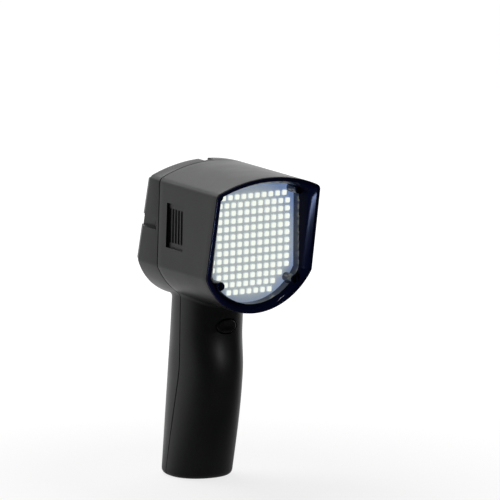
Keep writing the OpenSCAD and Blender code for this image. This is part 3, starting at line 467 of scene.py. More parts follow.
def side_x(up):
    """Half width of the head on its straight side, at a height above the lamp centre."""
    h = bpy.context.scene.strobe_head
    return h.top_w / 2 + (h.corner_up - up) * (h.low_w - h.top_w) / 2 / (h.corner_up + h.corner_down)


def around_head(profile):
    """Grid of points: each profile row (inset, y, slope) carried round the outline.

    Y falls by the slope as z rises.
    """
    rows = []
    for inset, y, slope in profile:
        xz = head_outline(inset)
        rows.append(np.column_stack([xz[:, 0], y - slope * xz[:, 1], LAMP_Z + xz[:, 1]]))
    return np.array(rows)


def softened(points, radii, closed=True, steps=5):
    """A profile with each corner drawn as a curve that starts and ends a radius away from it.

    The curve is quadratic, with the corner as its control point. A corner of radius 0 stays one sharp point.
    """
    points = np.array(points, float)
    radii = np.array(np.broadcast_to(radii, len(points)), float)
    if not closed:
        radii[[0, -1]] = 0
    most = 0.45
    ends = []
    for step in (1, -1):
        edge = np.roll(points, step, 0) - points
        share = np.minimum(radii / np.linalg.norm(edge[:, :2], axis=1), most)
        ends.append((points + edge * share[:, None])[:, None])
    t = np.linspace(0, 1, steps)[None, :, None]
    curve = (1 - t) ** 2 * ends[0] + 2 * t * (1 - t) * points[:, None] + t**2 * ends[1]
    return curve[(radii > 0)[:, None] | (np.arange(steps) == 0)]


def rounded_rect(w, h, r, steps=6):
    """Points of a rectangle about the origin with round corners."""
    q = math.pi / 2
    x, z = w / 2 - r, h / 2 - r
    corners = [(x, z), (-x, z), (-x, -z), (x, -z)]
    return np.concatenate([arc(c, r, k * q, (k + 1) * q, steps) for k, c in enumerate(corners)])


def ellipse(w, h, count=64):
    """Points of an ellipse about the origin."""
    a = np.linspace(0, 2 * math.pi, count, endpoint=False)
    return np.column_stack([w / 2 * np.cos(a), h / 2 * np.sin(a)])


def grown(outline, d):
    """A convex anticlockwise outline with each edge moved outwards by d."""
    edge = np.roll(outline, -1, 0) - outline
    normal = np.column_stack([edge[:, 1], -edge[:, 0]]) / np.linalg.norm(edge, axis=1)[:, None]
    before = np.roll(normal, 1, 0)
    return outline + d * (before + normal) / (1 + (before * normal).sum(1))[:, None]


def along_y(outline, ys, z, scale=1):
    """Rings of an outline (x, z) about a height z, one at each station along Y, each with its own scale."""
    ys = np.array(ys)[:, None]
    x, up = (np.broadcast_to(scale, len(ys))[:, None] * outline[:, k] for k in (0, 1))
    return np.stack([x, np.broadcast_to(ys, x.shape), z + up], -1)


def block(name, low, high):
    """Box between two corners, used to cut or to add."""
    low, high = np.array(low), np.array(high)
    square = np.array([[1, 1], [-1, 1], [-1, -1], [1, -1]]) * ((high - low) / 2)[[0, 2]]
    middle = (low + high) / 2
    return capped_solid(name, along_y(square, (low[1], high[1]), middle[2]) + [middle[0], 0, 0])


def bar(name, x, z, radii, ys):
    """Round bar along Y, of one radius or of one for each station, used to cut or to add."""
    return capped_solid(name, along_y(ellipse(2, 2, 48), ys, z, radii) + [x, 0, 0])


def upright(name, x, y, r, zs):
    """Round bar along Z, used to cut."""
    return capped_solid(name, along_y(ellipse(2, 2, 48), zs, y, r)[:, :, [0, 2, 1]] + [x, 0, 0])


# Front housing


def rim_line():
    """Station and slope of the plane behind the hood's lip."""
    h = bpy.context.scene.strobe_head
    return LAMP_Y - h.rim_ahead + h.lip_t, math.tan(h.rim_tilt)


def front_head():
    """Head of the front housing: a wall's profile from the hood's lip to the seam, round the outline."""
    h = bpy.context.scene.strobe_head
    y, slope = rim_line()
    profile = [
        (0, y, slope),
        (0, SEAM_Y - h.joint_w, 0),
        (h.joint_deep, SEAM_Y - h.joint_w, 0),
        (h.joint_deep, SEAM_Y, 0),
        (h.wall, SEAM_Y, 0),
        (h.wall, y, slope),
    ]
    profile = softened(profile, [h.edge_r, h.edge_r, 0, 0, 0, 0])
    # Rings along the flat side, between the ends of the two rounded edges
    shares = np.linspace(0.08, 0.92, 12)[:, None]
    side = profile[4] * (1 - shares) + profile[5] * shares
    return ring_solid("front_housing_smooth", around_head(np.concatenate([profile[:5], side, profile[5:]])))


def vent_centre():
    """Middle of the vent on the head's +X side."""
    h = bpy.context.scene.strobe_head
    return side_x(h.vent_up), (SEAM_Y + LAMP_Y) / 2 + h.vent_back, LAMP_Z + h.vent_up


def vent_blocks(name, near, deep, frame_w):
    """Blocks at both vents between two depths behind the head's side, a frame larger than the pockets."""
    h = bpy.context.scene.strobe_head
    x, y, z = vent_centre()
    w, up = h.vent_w / 2 + frame_w, h.vent_h / 2 + frame_w
    spans = ((near - x, deep - x), (x - deep, x - near))
    return [block(name, (low, y - w, z - up), (high, y + w, z + up)) for low, high in spans]


def vent_slots():
    """Cutters for the upright slots in both vents, which widen behind the pockets' floors."""
    h = bpy.context.scene.strobe_head
    x, y, z = vent_centre()
    reach = 8 * MM
    deep = np.array([h.vent_deep / 2, h.vent_deep, h.vent_deep + h.vent_floor, reach])[:, None]
    wide = np.array([0, 0, h.slot_draft, h.slot_draft])[:, None]
    across, up = np.array([(-1, -1), (1, -1), (1, 1), (-1, 1)]).T
    slots = []
    for side in (-1, 1):
        for k in range(h.slots):
            mid = y + h.slots_back + (k - (h.slots - 1) / 2) * h.slot_pitch
            ys, zs = mid + across * (h.slot_w / 2 + wide), z + up * (h.slot_h / 2 + wide)
            xs = np.broadcast_to(side * (x - deep), ys.shape)
            slots.append(capped_solid("slot", np.stack([xs, ys, zs], -1)))
    return joined("slots", slots)


# Grip


def grip_mid(z):
    """Widest line of the grip at height z."""
    g = bpy.context.scene.strobe_grip
    return g.mid_y - z * math.tan(g.mid_lean)


def grip_back(z):
    """Back of the grip at height z."""
    g = bpy.context.scene.strobe_grip
    return g.back_y - z * math.tan(g.back_lean)


def grip_fore(z):
    """Depth of the grip ahead of its widest line: a quarter sine up to the swell, then a cosine bell down."""
    g = bpy.context.scene.strobe_grip
    low = g.fore_foot + (g.fore_swell - g.fore_foot) * np.sin(math.pi / 2 * np.minimum(z / g.swell_z, 1))
    past = np.clip((z - g.swell_z) / g.swell_run, 0, 1)
    high = g.fore_top + (g.fore_swell - g.fore_top) * np.cos(math.pi / 2 * past) ** 2
    return np.where(z < g.swell_z, low, high)


def seam_at(z):
    """The seam runs straight down the upper grip, then bends back towards the foot."""
    g = bpy.context.scene.strobe_grip
    d = max(g.seam_bend_z - max(z, g.foot_r), 0)
    bend = d * d / (2 * g.seam_soft) if d < g.seam_soft else d - g.seam_soft / 2
    return SEAM_Y + math.tan(g.seam_lean) * bend


def grip_ring(half, z, inset, shares):
    """Points (x, y) of half a grip section at height z: a superellipse from seam to seam.

    It is moved inwards by inset, which may differ along the ring. The half is -1 in front and 1 behind.
    """
    g = bpy.context.scene.strobe_grip
    power = 2 / g.square
    mid, fore, back = grip_mid(z), grip_fore(z), grip_back(z) - grip_mid(z)
    d = seam_at(z) - mid
    depth = (back if d > 0 else fore) - np.min(inset)
    seam = math.copysign(math.asin(min(1, abs(d) / depth) ** (g.square / 2)), d)
    t = seam + half * (math.pi - half * 2 * seam) * shares
    c, s = np.cos(t), np.sin(t)
    reach = np.where(s > 0, back, fore) - inset
    x = (g.width / 2 - inset) * np.sign(c) * np.abs(c) ** power
    return np.column_stack([x, mid + reach * np.sign(s) * np.abs(s) ** power])


def grip_half(half, name):
    """Half of the grip as a wall: rings from the neck to the foot's edge, then across the floor to the seam.

    Each row of the table is a ring's height, its inset, its lift along the chin's arc and how far it is drawn
    across to the chord between the seams.
    """
    g, h = bpy.context.scene.strobe_grip, bpy.context.scene.strobe_head
    chin_r, chin_z = chin_radius(), LAMP_Z - h.chin_down
    neck_z = TRIGGER_Z - 3 * MM
    half_girth = 82 * MM
    near_seam = np.array([0, 0.0015, 0.003, 0.0045, 0.007])
    shares = np.concatenate([near_seam, np.linspace(0.01, 0.99, 101), 1 - near_seam[::-1]])
    from_seam = np.minimum(shares, 1 - shares) * half_girth
    groove = g.seam_deep * np.clip(1 - from_seam / g.seam_w, 0, 1) ** 2

    quarter = np.linspace(0, math.pi / 2, 9)
    fall, turned = 1 - np.sin(quarter), 1 - np.cos(quarter)
    blend_z = chin_z - g.blend_r
    rows = [(chin_z + h.wall / 2, -g.blend_r, 1, 0)]
    rows += [(chin_z - g.blend_r * f, -g.blend_r * t, 1, 0) for f, t in zip(fall[::-1], turned[::-1])]
    rows += [(neck_z + (blend_z - neck_z) * f, 0, f, 0) for f in (0.75, 0.5, 0.25, 0)]
    rows += [(z, 0, 0, 0) for z in np.linspace(neck_z, g.foot_r, 70)[1:]]
    rows += [(g.foot_r * t, g.foot_r * f, 0, 0) for f, t in zip(fall[-2::-1], turned[-2::-1])]
    rows += [(0, g.foot_r, 0, f) for f in (0.25, 0.5, 0.75, 1)]
    inside = np.full(len(shares), g.wall)
    outer, inner = [], []
    for z, inset, lift, cross in rows:
        for grid, deep, height in ((outer, inset + groove, z), (inner, inside, max(z, g.floor_t))):
            ring = grip_ring(half, z, deep, shares)
            chord = ring[0] + (ring[-1] - ring[0]) * shares[:, None]
            ring = ring * (1 - cross) + chord * cross
            rise = chin_r - np.sqrt(chin_r**2 - ring[:, 0] ** 2)
            grid.append(np.column_stack([ring, height + lift * rise]))
    return sheet_solid(name, np.array(outer), np.array(inner))


def neck_passage():
    """Cutter for the way through from the grip into the head."""
    g, h = bpy.context.scene.strobe_grip, bpy.context.scene.strobe_head
    chin_z, ahead, up = LAMP_Z - h.chin_down, 2 * MM, 7 * MM
    return upright("passage", 0, SEAM_Y - ahead, g.passage_r, (chin_z - PAST, chin_z + up))


class STROBE_OT_front_housing(bpy.types.Operator):
    """Builds the front half of the case: the head's sides with their vents and the front of the grip"""

    bl_idname = "strobe.front_housing"
    bl_label = "Front housing"

    def execute(self, context):
        g, h = context.scene.strobe_grip, context.scene.strobe_head
        vent_back, outside = h.vent_deep + h.vent_floor, 8 * MM
        shell = front_head()
        shaped(shell, "UNION", *vent_blocks("pad", h.wall / 2, vent_back, h.vent_frame))
        pockets = joined("pockets", vent_blocks("pocket", -outside, h.vent_deep, 0))
        shaped(shell, "DIFFERENCE", pockets, vent_slots(), neck_passage())
        shaped(shell, "UNION", grip_half(-1, "grip_front"))
        opening = ellipse(g.trigger_w + 2 * g.trigger_gap, g.trigger_h + 2 * g.trigger_gap)
        ahead, behind = 4 * MM, TRIGGER_HIGH.x - TRIGGER_LOW.x
        ys = (TRIGGER_LOW.y - ahead, TRIGGER_HIGH.y + behind)
        cuts = [capped_solid("trigger_hole", along_y(opening, ys, TRIGGER_Z))]
        for name, wall in FOOT_WALLS.items():
            x, y, _ = MOUNTS[name]["pos_m"]
            r = MOUNTS[name]["dims"]["r_mm"] * MM + wall
            cuts.append(upright("hole", x, y, r, (-PAST, g.floor_t + PAST)))
        shaped(shell, "DIFFERENCE", joined("holes", cuts))
        dressed(shell, case_plastic())
        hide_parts("front_housing")
        # Painted shade: a black sheet behind both vents stands in for the dark inside of the slots
        gauze = joined("vent_gauze", vent_blocks("gauze", vent_back, vent_back + h.shade_sheet_t, h.vent_frame))
        dressed(gauze, vent_shade_sheet(), crease=0)
        return {"FINISHED"}


# Rear housing


def face_slope():
    """Slope of the display face."""
    return math.tan(bpy.context.scene.strobe_face.tilt)


def rear_head():
    """Head of the rear housing: one profile from the inside of the face, by the seam, to the face's edge."""
    h, f = bpy.context.scene.strobe_head, bpy.context.scene.strobe_face
    edge, slope = f.edge_y, face_slope()
    face = edge + f.step
    inside = face - f.wall / math.cos(f.tilt)
    step_wall, back_wall, soft = 1 * MM, 1.2 * MM, 0.2 * MM
    flat_in = f.inset + 4 * MM
    outer = [
        (h.wall, SEAM_Y, 0),
        (h.joint_deep, SEAM_Y, 0),
        (h.joint_deep, SEAM_Y + h.joint_w, 0),
        (0, SEAM_Y + h.joint_w, 0),
        (0, edge, slope),
        (f.shoulder - f.groove, edge, slope),
        (f.shoulder, edge - f.groove, slope),
        (f.shoulder + f.groove / 2, edge, slope),
        (f.inset, face, slope),
        (flat_in, face, slope),
    ]
    outer = softened(outer, [0, 0, 0, h.edge_r, f.edge_r, soft, 0, soft, f.edge_r, 0], closed=False)
    inner = [
        (flat_in, inside, slope),
        (f.inset + step_wall, inside, slope),
        (f.inset + step_wall, edge - back_wall, slope),
        (h.wall, edge - back_wall, slope),
    ]
    return capped_solid("rear_housing_smooth", around_head(np.concatenate([inner, outer])))


def on_face(flat, depth):
    """Points drawn on the display face: x to the user's right, y up the face, and a height over the face."""
    f = bpy.context.scene.strobe_face
    s, c = math.sin(f.tilt), math.cos(f.tilt)
    x, up = np.asarray(flat, float).T
    return np.column_stack([-x, f.edge_y + f.step - s * up + c * depth, LAMP_Z + c * up + s * depth])


def face_loft(name, outlines, depths):
    """Closed loft through outlines drawn on the face, at the given heights over it."""
    return capped_solid(name, np.array([on_face(o, d) for o, d in zip(outlines, depths)]))


def screen_rect(grow, r):
    """Outline of the screen on the face, grown outwards."""
    f = bpy.context.scene.strobe_face
    return rounded_rect(f.screen_w + 2 * grow, f.screen_h + 2 * grow, r) + [0, f.screen_up]


def screen_well(grow, floor, mouth):
    """Flared recess of the screen, from its floor to its mouth, with its wall grown outwards."""
    f = bpy.context.scene.strobe_face
    low, high = screen_rect(grow, f.screen_r + grow), screen_rect(f.flare + grow, f.mouth_r + grow)
    return face_loft("well", [low, high], [floor, mouth])


def blacken_well(shell):
    """Gives the walls of the screen's recess their black finish."""
    f = bpy.context.scene.strobe_face
    s, c = math.sin(f.tilt), math.cos(f.tilt)
    x, y, z = (middles(shell.data) - [0, f.edge_y + f.step, LAMP_Z]).T
    up, over = c * z - s * y - f.screen_up, c * y + s * z
    inside = (np.abs(x) < f.screen_w / 2 + f.flare) & (np.abs(up) < f.screen_h / 2 + f.flare)
    zoned(shell, inside & (over < -SKIN) & (over > -f.recess - f.lip - SKIN), bezel_plastic())


def notch_blocks(grow, start):
    """Blocks at the three screw notches, from a station behind the seam: cutters, or grown to carry them."""
    h, f = bpy.context.scene.strobe_head, bpy.context.scene.strobe_face
    reach = 60 * MM
    w = f.notch_w / 2 + grow
    x, top = side_x(f.notch_up) - f.notch_deep - grow, LAMP_Z + h.crown_up - f.notch_deep - grow
    y, z = SEAM_Y + start, LAMP_Z + f.notch_up
    corners = (
        ((x, y, z - w), (x + reach, y + reach, z + w)),
        ((-x - reach, y, z - w), (-x, y + reach, z + w)),
        ((-w, y, top), (w, y + reach, top + reach)),
    )
    return joined("notches", [block("notch", low, high) for low, high in corners])


def rear_outside():
    """Solid that fills the rear housing's outside, a little inside its skin."""
    h, f = bpy.context.scene.strobe_head, bpy.context.scene.strobe_face
    edge, slope = f.edge_y, face_slope()
    rows = [
        (SKIN + h.edge_r, SEAM_Y + SKIN, 0),
        (SKIN, SEAM_Y + h.edge_r, 0),
        (SKIN, edge - f.edge_r, slope),
        (f.shoulder + f.groove, edge - f.groove, slope),
        (f.inset + SKIN, edge + f.step - f.edge_r, slope),
        (f.inset + f.edge_r, edge + f.step - SKIN, slope),
    ]
    return capped_solid("outside", around_head(rows))


def key_outlines():
    """Outline of each key about its own centre, by name, as its user sees it.

    The upper keys are rectangles, the outer ones with a cut corner. Below, the middle key is a shield:
    a rectangle with a half ellipse under it. The outer keys are fans: a quarter ellipse between a toe
    and a side.
    """
    f = bpy.context.scene.strobe_face
    w, h, clip = f.key_w / 2, f.key_h / 2, f.key_clip
    upper = np.array([(-w, h), (-w, -h), (w - clip, -h), (w, clip - h), (w, h)])
    plain = np.array([(-w, h), (-w, -h), (w, -h), (w, h)])
    low_w, low_h, point = 3.7 * MM, 5 * MM, 2.2 * MM
    a = np.radians(np.arange(180, 361, 20))
    under = np.column_stack([low_w * np.cos(a), point * (1 + np.sin(a)) - low_h])
    shield = np.concatenate([[(low_w, low_h), (-low_w, low_h)], under])
    top, tall, side, toe = 4.6 * MM, 8.5 * MM, 1 * MM, 1.2 * MM
    a = np.radians(np.arange(270, 361, 15))
    bow = np.column_stack([toe - w + (2 * w - toe) * np.cos(a), top - side + (tall - side) * np.sin(a)])
    fan = np.concatenate([[(-w, top)], bow, [(w, top)]])
    flip = np.array([-1, 1])
    return {
        "upper_left": (upper * flip)[::-1],
        "upper_middle": plain,
        "upper_right": upper,
        "lower_left": (fan * flip)[::-1],
        "lower_middle": shield,
        "lower_right": fan,
    }


def key_centre(name):
    """Centre of a key on the face."""
    f = bpy.context.scene.strobe_face
    row, side = name.split("_")
    column = ("left", "middle", "right").index(side) - 1
    return np.array([column * f.key_pitch, f.row_up if row == "upper" else f.row_low])


class STROBE_OT_rear_housing(bpy.types.Operator):
    """Builds the rear half of the case: the display face with its holes and notches, and the grip's back"""

    bl_idname = "strobe.rear_housing"
    bl_label = "Rear housing"

    def execute(self, context):
        g, f = context.scene.strobe_grip, context.scene.strobe_face
        off_seam, hole_r, chamfer, proud = 0.3 * MM, 0.9 * MM, 0.3 * MM, 0.1 * MM
        shell = rear_head()
        blocks = shaped(notch_blocks(f.notch_wall, off_seam), "INTERSECT", rear_outside())
        glass_z = -f.recess - f.lip
        shaped(shell, "UNION", blocks, screen_well(f.well_wall, glass_z, -0.5 * MM))
        seat, behind = 3 * MM, 4 * MM
        pillars, screw_holes = [], []
        for z in (GRIP_SCREWS_LOW.z + GRIP_SCREW_R, GRIP_SCREWS_HIGH.z - GRIP_SCREW_R):
            seam, back = seam_at(z), grip_back(z)
            pillars.append(bar("pillar", 0, z, g.pillar_r, (seam + off_seam, back - g.wall / 2)))
            screw_holes.append(bar("screw_hole", 0, z, g.screw_r, (seam + seat, back + behind)))
        shaped(shell, "UNION", grip_half(1, "grip_back"), joined("pillars", pillars))
        glass = screen_rect(0, f.screen_r)
        cuts = [face_loft("glass", [glass, glass], [glass_z - PAST, 0.5 * MM - f.recess])]
        for name, outline in key_outlines().items():
            hole = softened(grown(outline, f.key_gap) + key_centre(name), hole_r)
            heights = [-f.wall - PAST, -chamfer, proud]
            cuts.append(face_loft("key_hole", [hole, hole, grown(hole, chamfer)], heights))
        well = screen_well(0, -f.recess, proud)
        notches = notch_blocks(0, f.notch_floor)
        shaped(shell, "DIFFERENCE", well, joined("cuts", cuts + screw_holes), notches, neck_passage())
        dressed(shell, case_plastic())
        blacken_well(shell)
        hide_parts("rear_housing")
        return {"FINISHED"}


# Lamp


def hood_grid():
    """Grid of the hood: past the flare's start its tunnel widens as a power of the way to the rim.

    Under the crown the tunnel is less far in from the outline than at the sides.
    """
    h = bpy.context.scene.strobe_head
    back, slope = rim_line()
    rim = back - h.lip_t
    clear, soft = 0.1 * MM, 0.3 * MM
    edges = [
        (h.lip_w, rim, slope),
        (h.lip_in, rim, slope),
        (h.lip_in, back, slope),
        (h.wall + clear, back, slope),
        (h.hood_in - h.hood_wall, BOARD_Y, 0),
    ]
    edges = softened(edges, [h.lip_r, h.lip_r, soft, 0, 0], closed=False)
    t = np.linspace(0, 1, 30, endpoint=False)[:, None]
    flare = np.clip((t - h.flare_from) / (1 - h.flare_from), 0, 1) ** h.flare_power
    walls = []
    for inset in (h.hood_in, h.roof_in):
        tunnel = np.hstack([inset + (h.lip_w - inset) * flare, BOARD_Y + (rim - BOARD_Y) * t, slope * t])
        walls.append(around_head(np.concatenate([tunnel, edges])))
    sides, roof = walls
    rise = np.clip((sides[:, :, 2] - LAMP_Z - h.corner_up + h.hood_in) / h.corner_r, 0, 1)
    return sides + (roof - sides) * rise[:, :, None]


def polish_throat(hood):
    """Finishes the hood by depth: a mirror-like band at the board, a dull straight wall, a polished flare."""
    h = bpy.context.scene.strobe_head
    back, slope = rim_line()
    _, y, z = middles(hood.data).T
    deep = BOARD_Y - y
    share = deep / (BOARD_Y - back + h.lip_t + slope * (z - LAMP_Z))
    zone = np.where(deep < h.throat, 1, np.where(share < h.flare_from + h.polish_after, 2, 0))
    zoned(hood, zone, throat_plastic(), dull_plastic())


def post_places():
    """Axes (x, z) of the hood's posts, from the hood screws' points."""
    co = coordinates(frame["nodes"]["hood_screws"].data)
    upper, lower = co[co[:, 2] > LAMP_Z], co[co[:, 2] < LAMP_Z]
    return [
        (side * (group[:, 0].max() - HOOD_SCREW_R), (group[:, 2].min() + group[:, 2].max()) / 2)
        for group in (upper, lower)
        for side in (-1, 1)
    ]


class STROBE_OT_lamp_hood(bpy.types.Operator):
    """Builds the hood: a polished lip and a flared tunnel down to the lamp board, with four screw posts"""

    bl_idname = "strobe.lamp_hood"
    bl_label = "Lamp hood"

    def execute(self, context):
        h = context.scene.strobe_head
        hood = ring_solid("lamp_hood_polished", hood_grid())
        seat = BOARD_Y - h.post_h
        tip = seat - h.post_rim
        # The last two rings round a post's tip over
        radii = h.post_r * np.array([1, 1, 0.94, 0.8])
        ys = (BOARD_Y, tip + 1 * MM, tip + 0.3 * MM, tip)
        ahead, into = 10 * MM, 0.5 * MM
        places = post_places()
        posts = [bar("post", x, z, radii, ys) for x, z in places]
        heads = [bar("bore", x, z, h.post_bore, (tip - ahead, seat)) for x, z in places]
        shafts = [bar("bore", x, z, h.post_shaft, (seat - into, BOARD_Y + PAST)) for x, z in places]
        shaped(hood, "UNION", joined("posts", posts))
        shaped(hood, "DIFFERENCE", joined("heads", heads), joined("shafts", shafts))
        dressed(hood, hood_plastic(), crease=40)
        polish_throat(hood)
        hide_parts("lamp_hood")
        return {"FINISHED"}


class STROBE_OT_lamp(bpy.types.Operator):
    """Builds the LED packages, each a rounded body with a low dome, and finishes the board under them"""

    bl_idname = "strobe.lamp"
    bl_label = "LED field"

    def execute(self, context):
        rows_up = len(LED_ROWS) - 1
        pitch = (LED_HIGH.z - LED_LOW.z - LED_SIDE) / rows_up
        counts = np.array(LED_ROWS)
        row = np.repeat(np.arange(len(counts)), counts)
        column = np.arange(counts.sum()) - np.repeat(np.cumsum(counts) - counts, counts)
        across, up = (column - (counts[row] - 1) / 2) * pitch, LAMP_Z + (rows_up / 2 - row) * pitch
        shift = np.column_stack([across, np.zeros(len(row)), up])

        cup_side, body_r, cup_r = LED_SIDE - 0.3 * MM, 0.9 * MM, 1.1 * MM
        body, cup = (rounded_rect(s, s, r, 3) for s, r in ((LED_SIDE, body_r), (cup_side, cup_r)))
        edge_share, crest_share = 0.96, 0.6
        dome = LED_LOW.y + 0.12 * MM
        edge, crest = (cup * edge_share, dome - 0.04 * MM), (cup * crest_share, dome - 0.1 * MM)
        rings = ((body, LED_HIGH.y), (body, dome), (cup, dome), edge, crest)
        base = np.concatenate([along_y(outline, (y,), 0)[0] for outline, y in rings])
        cols = len(body)
        quads = grid_faces(len(rings), cols, False, True)
        starts = np.arange(len(shift)) * len(base)
        under, lens = np.arange(cols)[::-1], len(base) - cols + np.arange(cols)
        caps = [cap + start for start in starts for cap in (under, lens)]
        points = (base[None] + shift[:, None]).reshape(-1, 3)
        leds = new_object("led_packages", points, (quads[None] + starts[:, None, None]).reshape(-1, 4), caps)
        dressed(leds, led_body(), crease=25)
        lit_sides = np.tile(np.arange(len(quads)) >= 2 * cols, len(shift))
        lit_caps = np.tile([False, True], len(shift))
        zoned(leds, np.concatenate([lit_sides, lit_caps]), led_dome())
        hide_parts("led_array")
        finish_nodes(["led_board"], lamp_board())
        return {"FINISHED"}


# Display and keys


def face_sheet(name, outlines, depth, thick):
    """Thin solid plates on the display face, one for each outline, joined in one object."""
    return joined(name, [face_loft(name, [o, o], [depth, depth + thick]) for o in outlines])


def stroke(start, end, width):
    """Outline of a straight stroke of even width, with square ends."""
    a, b = np.array(start, float), np.array(end, float)
    along = (b - a) / np.linalg.norm(b - a)
    across = np.array([-along[1], along[0]]) * width / 2
    return np.array([a - across, b - across, b + across, a + across])


def numerals(text, height, centre):
    """Points and faces of plain numerals on the face plane, from Blender's own font."""
    height_share, bolder = 0.7, 0.012
    curve = bpy.data.curves.new("numerals", "FONT")
    curve.body = text
    curve.size = height / height_share
    curve.offset = bolder * height
    curve.align_x, curve.align_y = "CENTER", "CENTER"
    curve.resolution_u = 4
    holder = linked("numerals", curve)
    bpy.context.view_layer.update()
    mesh = bpy.data.meshes.new_from_object(holder.evaluated_get(bpy.context.evaluated_depsgraph_get()))
    bpy.data.objects.remove(holder)
    return coordinates(mesh)[:, :2] + centre, corners_of(mesh)


def screen_marks():
    """Outlines of the marks on the screen about its centre, drawn in millimetres: simple signs and bars."""
    play = [(-23, 10), (-20.2, 11.6), (-23, 13.2)]
    skips = [[(x, -12.6), (x + 3, -11), (x, -9.4)] for x in (13, 17)]
    flash = [(20.4, 0.2), (19, -1.8), (20.2, -1.8), (19.4, -4), (22, -1.2), (20.8, -1.2), (21.8, 0.2)]
    heights = (1.2, 2, 2.8, 3.4)
    bars = [rounded_rect(0.8, h, 0.2, 2) + [1.6 * k - 3, 10 + h / 2] for k, h in enumerate(heights)]
    frame_sides = [((17, y), (23, y)) for y in (10.2, 13)] + [((x, 10), (x, 13.2)) for x in (17, 23)]
    battery = [stroke(a, b, 0.4) for a, b in frame_sides]
    battery += [rounded_rect(1.3, 1.8, 0.2, 2) + [18.1 + 1.75 * k, 11.6] for k in range(3)]
    battery += [rounded_rect(0.7, 1.2, 0.2, 2) + [23.6, 11.6]]
    menu = [stroke((-23, y), (-18.6, y), 0.55) for y in (-12.4, -11, -9.6)]
    dot = ellipse(3.4, 3.4, 24) + [9.4, -11]
    return [np.array(mark) * MM for mark in (play, *bars, *battery, *menu, dot, *skips, flash)]


class STROBE_OT_display(bpy.types.Operator):
    """Builds the screen with its marks and finishes the clear window over it"""

    bl_idname = "strobe.display"
    bl_label = "Display"

    def execute(self, context):
        f = context.scene.strobe_face
        border, bevel = 3.3 * MM, 0.5 * MM
        top = -f.recess - f.lip - WINDOW_T
        edge_z, film_z, ink_t = top - 0.3 * MM, top - 0.06 * MM, 0.04 * MM
        edge, ledge = screen_rect(border, 1 * MM), screen_rect(border - bevel, 0.6 * MM)
        panel = face_loft("screen_panel", [edge, edge, ledge], [top - LCD_T, edge_z, film_z])
        dressed(panel, screen_film(), crease=30)
        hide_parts("lcd_module")
        marks = face_sheet("screen_marks", [m + [0, f.screen_up] for m in screen_marks()], film_z, ink_t)
        dressed(marks, screen_ink(), crease=0)
        figure_h, middle = 8 * MM, np.array([0.5 * MM, 0.4 * MM + f.screen_up])
        flat, faces = numerals("1200.0", figure_h, middle)
        figures = placed("screen_figures", on_face(flat, film_z + ink_t), faces)
        dressed(figures, screen_ink(), crease=0)
        finish_nodes(["display_window"], clear_plastic())
        return {"FINISHED"}


def key_signs():
    """Outlines of each key's sign about the key's centre, drawn in millimetres: arrows, bars and a ring."""
    a, line = 1.5, 0.45
    right = np.array([(-a, -a), (a, 0), (-a, a)]) * 0.9
    up = right[:, ::-1]
    turns = np.radians(np.arange(130, 411, 20))
    ring = 1.7 * np.column_stack([np.cos(turns), np.sin(turns)])
    open_ring = [stroke(start, end, line) for start, end in zip(ring[:-1], ring[1:])]
    signs = {
        "upper_left": [(right * [-1, 1])[::-1]],
        "upper_middle": [stroke((-a, y), (a, y), line) for y in (-0.8 * a, 0, 0.8 * a)],
        "upper_right": [right],
        "lower_left": [up * [1, -1] + [1, 1]],
        "lower_middle": open_ring + [stroke((0, 0.5), (0, 2.3), line)],
        "lower_right": [up[::-1] + [-1, 1]],
    }
    return {name: [outline * MM for outline in outlines] for name, outlines in signs.items()}


class STROBE_OT_keys(bpy.types.Operator):
    """Builds the six keys with their soft edges and printed signs"""

    bl_idname = "strobe.keys"
    bl_label = "Keys"

    def execute(self, context):
        f = context.scene.strobe_face
        corner_r, flange_w, flange_r, flange_t = 0.7 * MM, 0.7 * MM, 0.5 * MM, 1.2 * MM
        # Inset and drop of the rings that round a key's top edge
        soft_edge = ((0, 0.55 * MM), (0.18 * MM, 0.15 * MM), (0.6 * MM, 0))
        under, top = -f.wall - 0.1 * MM, f.key_proud
        sunk, ink_t = 0.02 * MM, 0.05 * MM
        signs = key_signs()
        for name, outline in key_outlines().items():
            at, key = key_centre(name), "key_" + name
            soft = softened(outline, corner_r)
            flange = softened(grown(outline, f.key_gap + flange_w), flange_r)
            flange[:, 1] = np.maximum(flange[:, 1], outline[:, 1].min())
            rings = [soft] + [grown(soft, -inset) for inset, _ in soft_edge]
            heights = [under - flange_t / 2] + [top - drop for _, drop in soft_edge]
            cap = face_loft(key + "_cap", [ring + at for ring in rings], heights)
            shaped(cap, "UNION", face_loft("foot", [flange + at, flange + at], [under - flange_t, under]))
            dressed(cap, key_plastic(), body=key + "_cap", crease=38)
            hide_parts(key)
            mark = face_sheet(key + "_sign", [o + at for o in signs[name]], top - sunk, ink_t)
            dressed(mark, key_print(), body=key + "_cap", crease=0)
        return {"FINISHED"}


